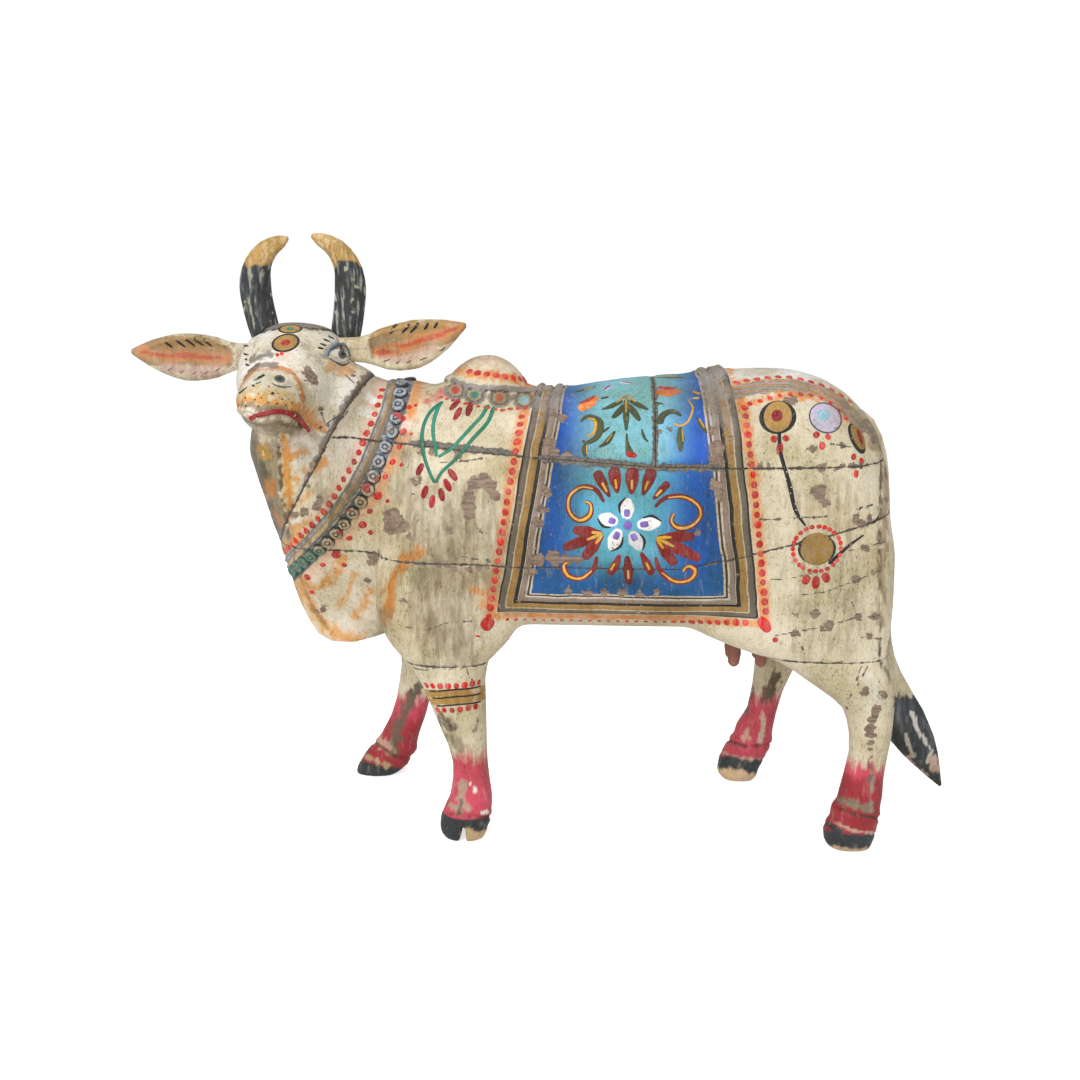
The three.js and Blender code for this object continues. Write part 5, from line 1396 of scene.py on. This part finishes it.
# Garland over the rump: a row of dots above it, one below, its medallions with their drops and lines,
# and the large medallion on the thigh in its ring of dots.
row("red_rump_dots", [(100.5, 285.5), (108, 287), (115, 288), (129.5, 289), (147.5, 285), (159, 279.5),
                      (166, 274.5)], 6.5, 4.9, long=4.8)
row("red_rump_dots", [(108.5, 274), (121.5, 277.5), (130, 279.5), (144.5, 279), (154.5, 274.5),
                      (160.5, 268.5), (164.5, 265)], 6.2, 3.8, long=3.4)
stamp("black_rump_medallions", (125.5, 267), (21, 19))
stamp("ochre_rump_medallions", (125.5, 267.3), (16, 17.6), layer=1)
stamp("crimson_rump_medallions", (125, 267.8), (6.4, 7), layer=2, across=12)
stamp("slate_rump_medallions", (151.3, 266.8), (20, 16.4), turn=-36)
stamp("lilac_rump_medallions", (151.3, 266.8), (18.4, 14.8), turn=-36, layer=1)
stamp("sky_rump_medallions", (150, 268), (7.4, 7), turn=20, layer=2)
dab("black_rump_medallions", [(165, 264), (173, 247)], 12, across=16, oval=True)
dab("ochre_rump_medallions", [(166, 263.5), (173, 249)], 10, layer=1, across=16, oval=True)
dab("crimson_rump_medallions", [(168.5, 261), (172, 252)], 4, layer=2, oval=True)
for x, z, turn, long, wide in [
        (124, 255, 50, 4.6, 4.2), (130.5, 255.5, 130, 4.6, 4.2), (127.5, 249.5, 88, 8.5, 4.2),
        (147, 257.5, 50, 4.6, 4), (153.5, 256.5, 130, 4.6, 4), (150.5, 251.5, 90, 5.6, 4),
        (168, 245.5, 60, 4.2, 3.6), (172.5, 243.5, 130, 4.2, 3.6), (170, 236, 88, 5.6, 3.6),
        (146, 175, 70, 7, 5), (151.5, 173.5, 88, 9, 5), (157, 176.5, 110, 7.5, 5)]:
    leaf("red_rump_drops", x, z, turn, long, (wide * 0.7, wide * 1.15, wide * 0.7))
for path, width in [
        ([(126.5, 260), (127.5, 250), (129.5, 242.5), (134, 229), (138, 215), (144.5, 205.5)],
         (2.4, 2.6, 2.6, 3, 2.6, 1.2)),
        ([(157.5, 184), (168, 194.5), (177, 202)], (2.6, 2.2, 1)),
        ([(180.5, 207.5), (184, 213.5)], (0.8, 1.8, 0.8))]:
    dab("black_rump_lines", path, width)
for x, z in [
        (130, 239.5), (131.5, 237), (131.2, 233), (134.5, 228.5), (134.2, 225), (137.2, 219),
        (137.8, 215.5), (140.5, 211.5)]:
    dab("white_rump_specks", [(x, z), (x + 0.7, z - 0.5)], 0.7, layer=1)
stamp("black_rump_medallions", (151, 193), (22, 18.6))
stamp("ochre_rump_medallions", (151, 193), (19.2, 19.4), layer=1)
for turn in range(0, 360, 15):
    angle = math.radians(turn + random.uniform(-2, 2))
    stamp("red_rump_ring", (151 + 13.4 * math.cos(angle), 193 + 13 * math.sin(angle)), (3.1, 2.7),
          turn=turn + 90, across=10)

# Face: lids, lashes and brows, the red lips, nostrils, freckles and forehead medallions, and the ticks of
# the ears. The eyes, brows and nostrils have a twin across the face.
both = (1, "face")
stamp("white_face", (-116.6, 299.6), (12.4, 7.4), turn=-8, sides=both, layer=1)
dab("slate_face", [(-123.3, 298.8), (-121.5, 302), (-118.5, 304.6), (-114.5, 306), (-111.5, 303.6),
                   (-109.8, 298.5)], (1, 2.2, 2.8, 2, 0.8), sides=both, layer=2)
dab("slate_face", [(-122.8, 298.5), (-117, 295.2), (-113, 294.9), (-110.2, 296.6)], (0.6, 1.3, 1.2, 0.6),
    sides=both, layer=2)
stamp("slate_face", (-114.7, 300.4), (5, 5), sides=both, layer=2, across=16)
stamp("black_face", (-114.5, 300.5), (2.4, 2.4), sides=both, layer=3, across=12)
for x0, z0, x1, z1 in [
        (-128.5, 304.2, -124.5, 303.3), (-127, 306.4, -122.5, 304.9), (-125.3, 308.9, -120.5, 306.9),
        (-122.5, 310.7, -118.5, 308.5)]:
    dab("black_face", [(x0, z0), (x1, z1)], (2, 2.4, 1.6), sides=both)
for z in (305.6, 303.2, 300.6, 297.8, 295):
    dab("black_face", [(-169.6, z), (-166.8, z - 1.2)], (1.5, 1.5, 0.9), sides=(1,))
stamp("slate_face", NOSTRIL, (6.4, 4.2), turn=-8, sides=both)
stamp("black_face", NOSTRIL, (3.2, 1.8), turn=-8, sides=both, layer=1, across=12)
dab("slate_face", [(-155.5, 285), (-152.5, 283), (-148, 282.2), (-143.5, 282.4)], (0.6, 1.2, 1.1, 0.5),
    sides=both)
dab("black_face", [(-174.5, 278.5), (-172.5, 279.5), (-168, 282.5)], (1, 1.6, 0.8), sides=(1,))
for x, z, wide in [
        (-160, 289.5, 1.8), (-166, 283.5, 1.6), (-155.5, 279.5, 2.2), (-171, 276.5, 1.2),
        (-171, 272, 1.4), (-165.5, 275.5, 1.2), (-161.5, 276.5, 1), (-150, 276, 1.2), (-146.5, 276, 0.9),
        (-144.5, 274, 1.2), (-158, 274, 1), (-153, 273.5, 1.3), (-163, 279, 0.9), (-157, 283, 1.1),
        (-152, 279, 1), (-148, 272.5, 1), (-142.5, 278.5, 0.9), (-163.5, 271.8, 1.1)]:
    dab("black_face", [(x, z), (x + wide * 0.5, z - wide * 0.7)], wide, sides=(1,))
dab("crimson_face", [(-169.3, 263.8), (-166, 265.8), (-161.5, 267), (-153.5, 268.5), (-145.5, 267.5),
                     (-140, 264), (-137, 260), (-135.2, 257.2)],
    (2.2, 3.6, 3.8, 3.8, 3.6, 3, 1.4), sides=(1,), across=12, thick=0.9)
dab("crimson_face", [(-143, 266), (-140, 264), (-137.2, 260.3)], 3.6, sides=(1,), layer=4, across=12)
for place, size, shade in [((-146, 306.5), (17, 10), "red"), ((-143, 314), (14, 4.8), "green")]:
    for colour, part, layer in [("black", 1, 0), ("ochre", 0.84, 1), (shade, 0.34, 2)]:
        stamp(colour + "_face", place, (size[0] * part, size[1] * part), turn=14 if shade == "red" else 3,
              sides=(1,), layer=layer)
for x, z in [(-151, 300), (-148.5, 300.7)]:
    stamp("red_face", (x, z), (2.4, 2.2), sides=(1,), across=10)
for ear, ticks in [
        ("left",
         [(-89, 316, -91, 311.5), (-83, 316.5, -88.5, 311), (-76.5, 316.8, -81.5, 311.5),
          (-71.5, 317.3, -77, 311.5), (-66, 317.3, -69, 313.5), (-61, 317.5, -63.5, 314.5)]),
        ("right",
         [(-214, 307, -209.5, 303.5), (-208, 308, -202, 303.5), (-202.5, 308.8, -196.5, 304),
          (-197.5, 309, -191.5, 304.5), (-192, 308.6, -187, 304)])]:
    for x0, z0, x1, z1 in ticks:
        dab("black_ear_" + ear, [(x0 * 1.12 - x1 * 0.12, z0 * 1.12 - z1 * 0.12), (x1, z1)], (1.8, 1.8, 1),
            sides=(1,))
for x0, z0, x1, z1 in [
        (-92, 296.5, -87.5, 298), (-72, 297, -67, 299), (-79, 295.5, -76, 297.5), (-60, 302, -57, 305),
        (-85, 295.2, -82.5, 297)]:
    dab("black_ear_left", [(x0, z0), (x1, z1)], (0.9, 0.5), sides=(1,))
for x, z in [(-214, 290.6), (-207, 289.4), (-200, 288.8), (-193, 289), (-187, 290.4)]:
    dab("slate_ear_right", [(x, z), (x + 3, z + 2.2)], (0.9, 0.5), sides=(1,))

# Band of two ochre stripes round the near front leg, lined in black between two rows of dots. The
# stripes themselves are among the leg's washes.
for line in (
        [(-71.5, 104), (-58.5, 104.5), (-48.5, 105.5), (-39.5, 107.8)],
        [(-69.5, 99.5), (-58.5, 100), (-48.5, 101), (-39.5, 103.3)],
        [(-67.5, 94.6), (-58, 95), (-49, 96), (-39.5, 98.3)]):
    dab("black_leg_band", line, (1.2, 1.3, 1.1), sides=(1,))
row("red_leg_band", [(-72.5, 107.3), (-65.5, 106.8), (-52, 107.4), (-40, 110)], 4.9, 4.3, sides=(1,))
row("red_leg_band", [(-66, 91.9), (-57, 91.8), (-49.5, 93), (-40, 95.2)], 4.9, 4.2, sides=(1,))

# Colours of the brush paint, each with its slot: one material each, worn with the coat below it. The
# buttons have a paint of their own.
PAINTS = {
    "red": ("red_paint", (0.56, 0.045, 0.035)), "maroon": ("red_paint", (0.20, 0.018, 0.014)),
    "crimson": ("red_paint", (0.31, 0.019, 0.024)), "orange": ("red_paint", (0.75, 0.20, 0.03)),
    "yellow": ("ochre_paint", (0.60, 0.33, 0.03)), "ochre": ("ochre_paint", (0.35, 0.21, 0.058)),
    "green": ("green_paint", (0.02, 0.20, 0.13)), "leaf": ("green_paint", (0.06, 0.075, 0.03)),
    "purple": ("blue_paint", (0.19, 0.12, 0.42)), "sky": ("blue_paint", (0.30, 0.52, 0.62)),
    "lilac": ("blue_paint", (0.42, 0.38, 0.46)), "white": ("white_paint", (0.72, 0.71, 0.68)),
    "black": ("black_paint", (0.018, 0.018, 0.018)), "slate": ("black_paint", (0.10, 0.125, 0.165)),
}


def brush_paint(name, colour):
    material, tree = new_material(name)
    tone = field(tree, "tone")
    place = spot_of(tree)
    swept = noise(tree, place, (500, 500, 160), 3)
    hue = add(tree, "HueSaturation", {"Color": (*colour, 1), "Value": span(tree, tone, 0, 1, 0.78, 1.2),
                                      "Saturation": span(tree, swept, 0.3, 0.7, 0.85, 1.1)}).outputs[0]
    body = add(tree, "Group", {"Paint": hue, "Wear": 0.35}, node_tree=aged)
    finish_paint(tree, body.outputs["Color"], body.outputs["Roughness"], body.outputs["Height"], 0.12)
    return material


def button_paint():
    """Slate paint darkened in the hollows of the buttons as painted shade, and pale on their rims, rubbed and
    painted as highlight.
    """
    material, tree = new_material("button_paint")
    place = spot_of(tree)
    # The profile's tone: worn paint and painted highlight on the crests, painted shade in the hollows.
    rubbed = field(tree, "tone")
    patch = noise(tree, place, (110, 110, 110), 2)
    fine = noise(tree, place, (500, 500, 500), 4)
    pale = maths(tree, "ADD", rubbed, span(tree, fine, 0.3, 0.7, -0.35, 0.35))
    height_up = add(tree, "SeparateXYZ", {"Vector": place}).outputs["Z"]
    worn_ground = blend(tree, span(tree, height_up, 0.215, 0.25), (0.50, 0.40, 0.28), (0.36, 0.40, 0.45))
    ground_coat = blend(tree, span(tree, pale, 0.25, 0.9), (0.045, 0.055, 0.065), worn_ground)
    hue = blend(tree, span(tree, patch, 0.60, 0.64), ground_coat, (0.42, 0.07, 0.06))
    hue = blend(tree, span(tree, height_up, 0.178, 0.183, 0.8, 0.0), hue, (0.05, 0.17, 0.12))
    body = add(tree, "Group", {"Paint": hue, "Wear": 0.8}, node_tree=aged)
    finish_paint(tree, body.outputs["Color"], body.outputs["Roughness"], body.outputs["Height"])
    return material


button_row.data.materials.append(button_paint())
paints = {name: brush_paint(name + "_brush", colour) for name, (_, colour) in PAINTS.items()}
for name, bm in pots.items():
    bmesh.ops.recalc_face_normals(bm, faces=bm.faces)
    mesh = mesh_of(bm, "paint_" + name)
    smooth_faces(mesh)
    shade = name.split("_")[0]
    mesh.materials.append(paints[shade])
    piece = placed("paint_" + name, mesh)
    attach(piece, "root")

# Studio: a pale floor, a white backdrop and three soft lamps, seen from the photograph's angle.
# The lamps all face the middle of the cow. Floor and backdrop look brighter than the light they throw.
AIM = Vector((0, 0, 0.18))
camera = placed("camera", bpy.data.cameras.new("camera"))
camera.data.lens = 35.8
camera.data.sensor_width = 36
camera.location = EYE
camera.rotation_euler = (math.radians(76.9), 0, math.radians(3))
bpy.context.scene.camera = camera
bpy.context.scene.view_settings.view_transform = "Standard"
world = bpy.data.worlds.new("studio")
bpy.context.scene.world = world
world.use_nodes = True
tree = world.node_tree
seen = add(tree, "LightPath", {}).outputs["Is Camera Ray"]
tree.links.new(maths(tree, "ADD", maths(tree, "MULTIPLY", seen, 0.62), 0.40),
               tree.nodes["Background"].inputs["Strength"])
tree.nodes["Background"].inputs["Color"].default_value = (1, 1, 1, 1)
for name, place, power, size in [
        ("key_lamp", (-0.6, -1.05, 1.0), 15, 0.9), ("fill_lamp", (0.9, -0.9, 0.6), 4, 1.0),
        ("top_lamp", (0.1, 0.3, 1.4), 4.5, 1.0)]:
    lamp = bpy.data.lights.new(name, "AREA")
    lamp.energy, lamp.size = power, size
    light = placed(name, lamp)
    light.location = place
    light.rotation_euler = (Vector(place) - AIM).to_track_quat("Z", "Y").to_euler()
floor_bm = bmesh.new()
bmesh.ops.create_grid(floor_bm, x_segments=2, y_segments=2, size=30)
floor = placed("floor", mesh_of(floor_bm, "floor"))
floor.location.z = -0.4 * mm
material, tree = new_material("floor_white")
shader = tree.nodes["Principled BSDF"]
shader.inputs["Base Color"].default_value = (0.9, 0.9, 0.9, 1)
shader.inputs["Roughness"].default_value = 0.9
shader.inputs["Emission Color"].default_value = (1, 1, 1, 1)
tree.links.new(maths(tree, "MULTIPLY", add(tree, "LightPath", {}).outputs["Is Camera Ray"], 0.68),
               shader.inputs["Emission Strength"])
floor.data.materials.append(material)
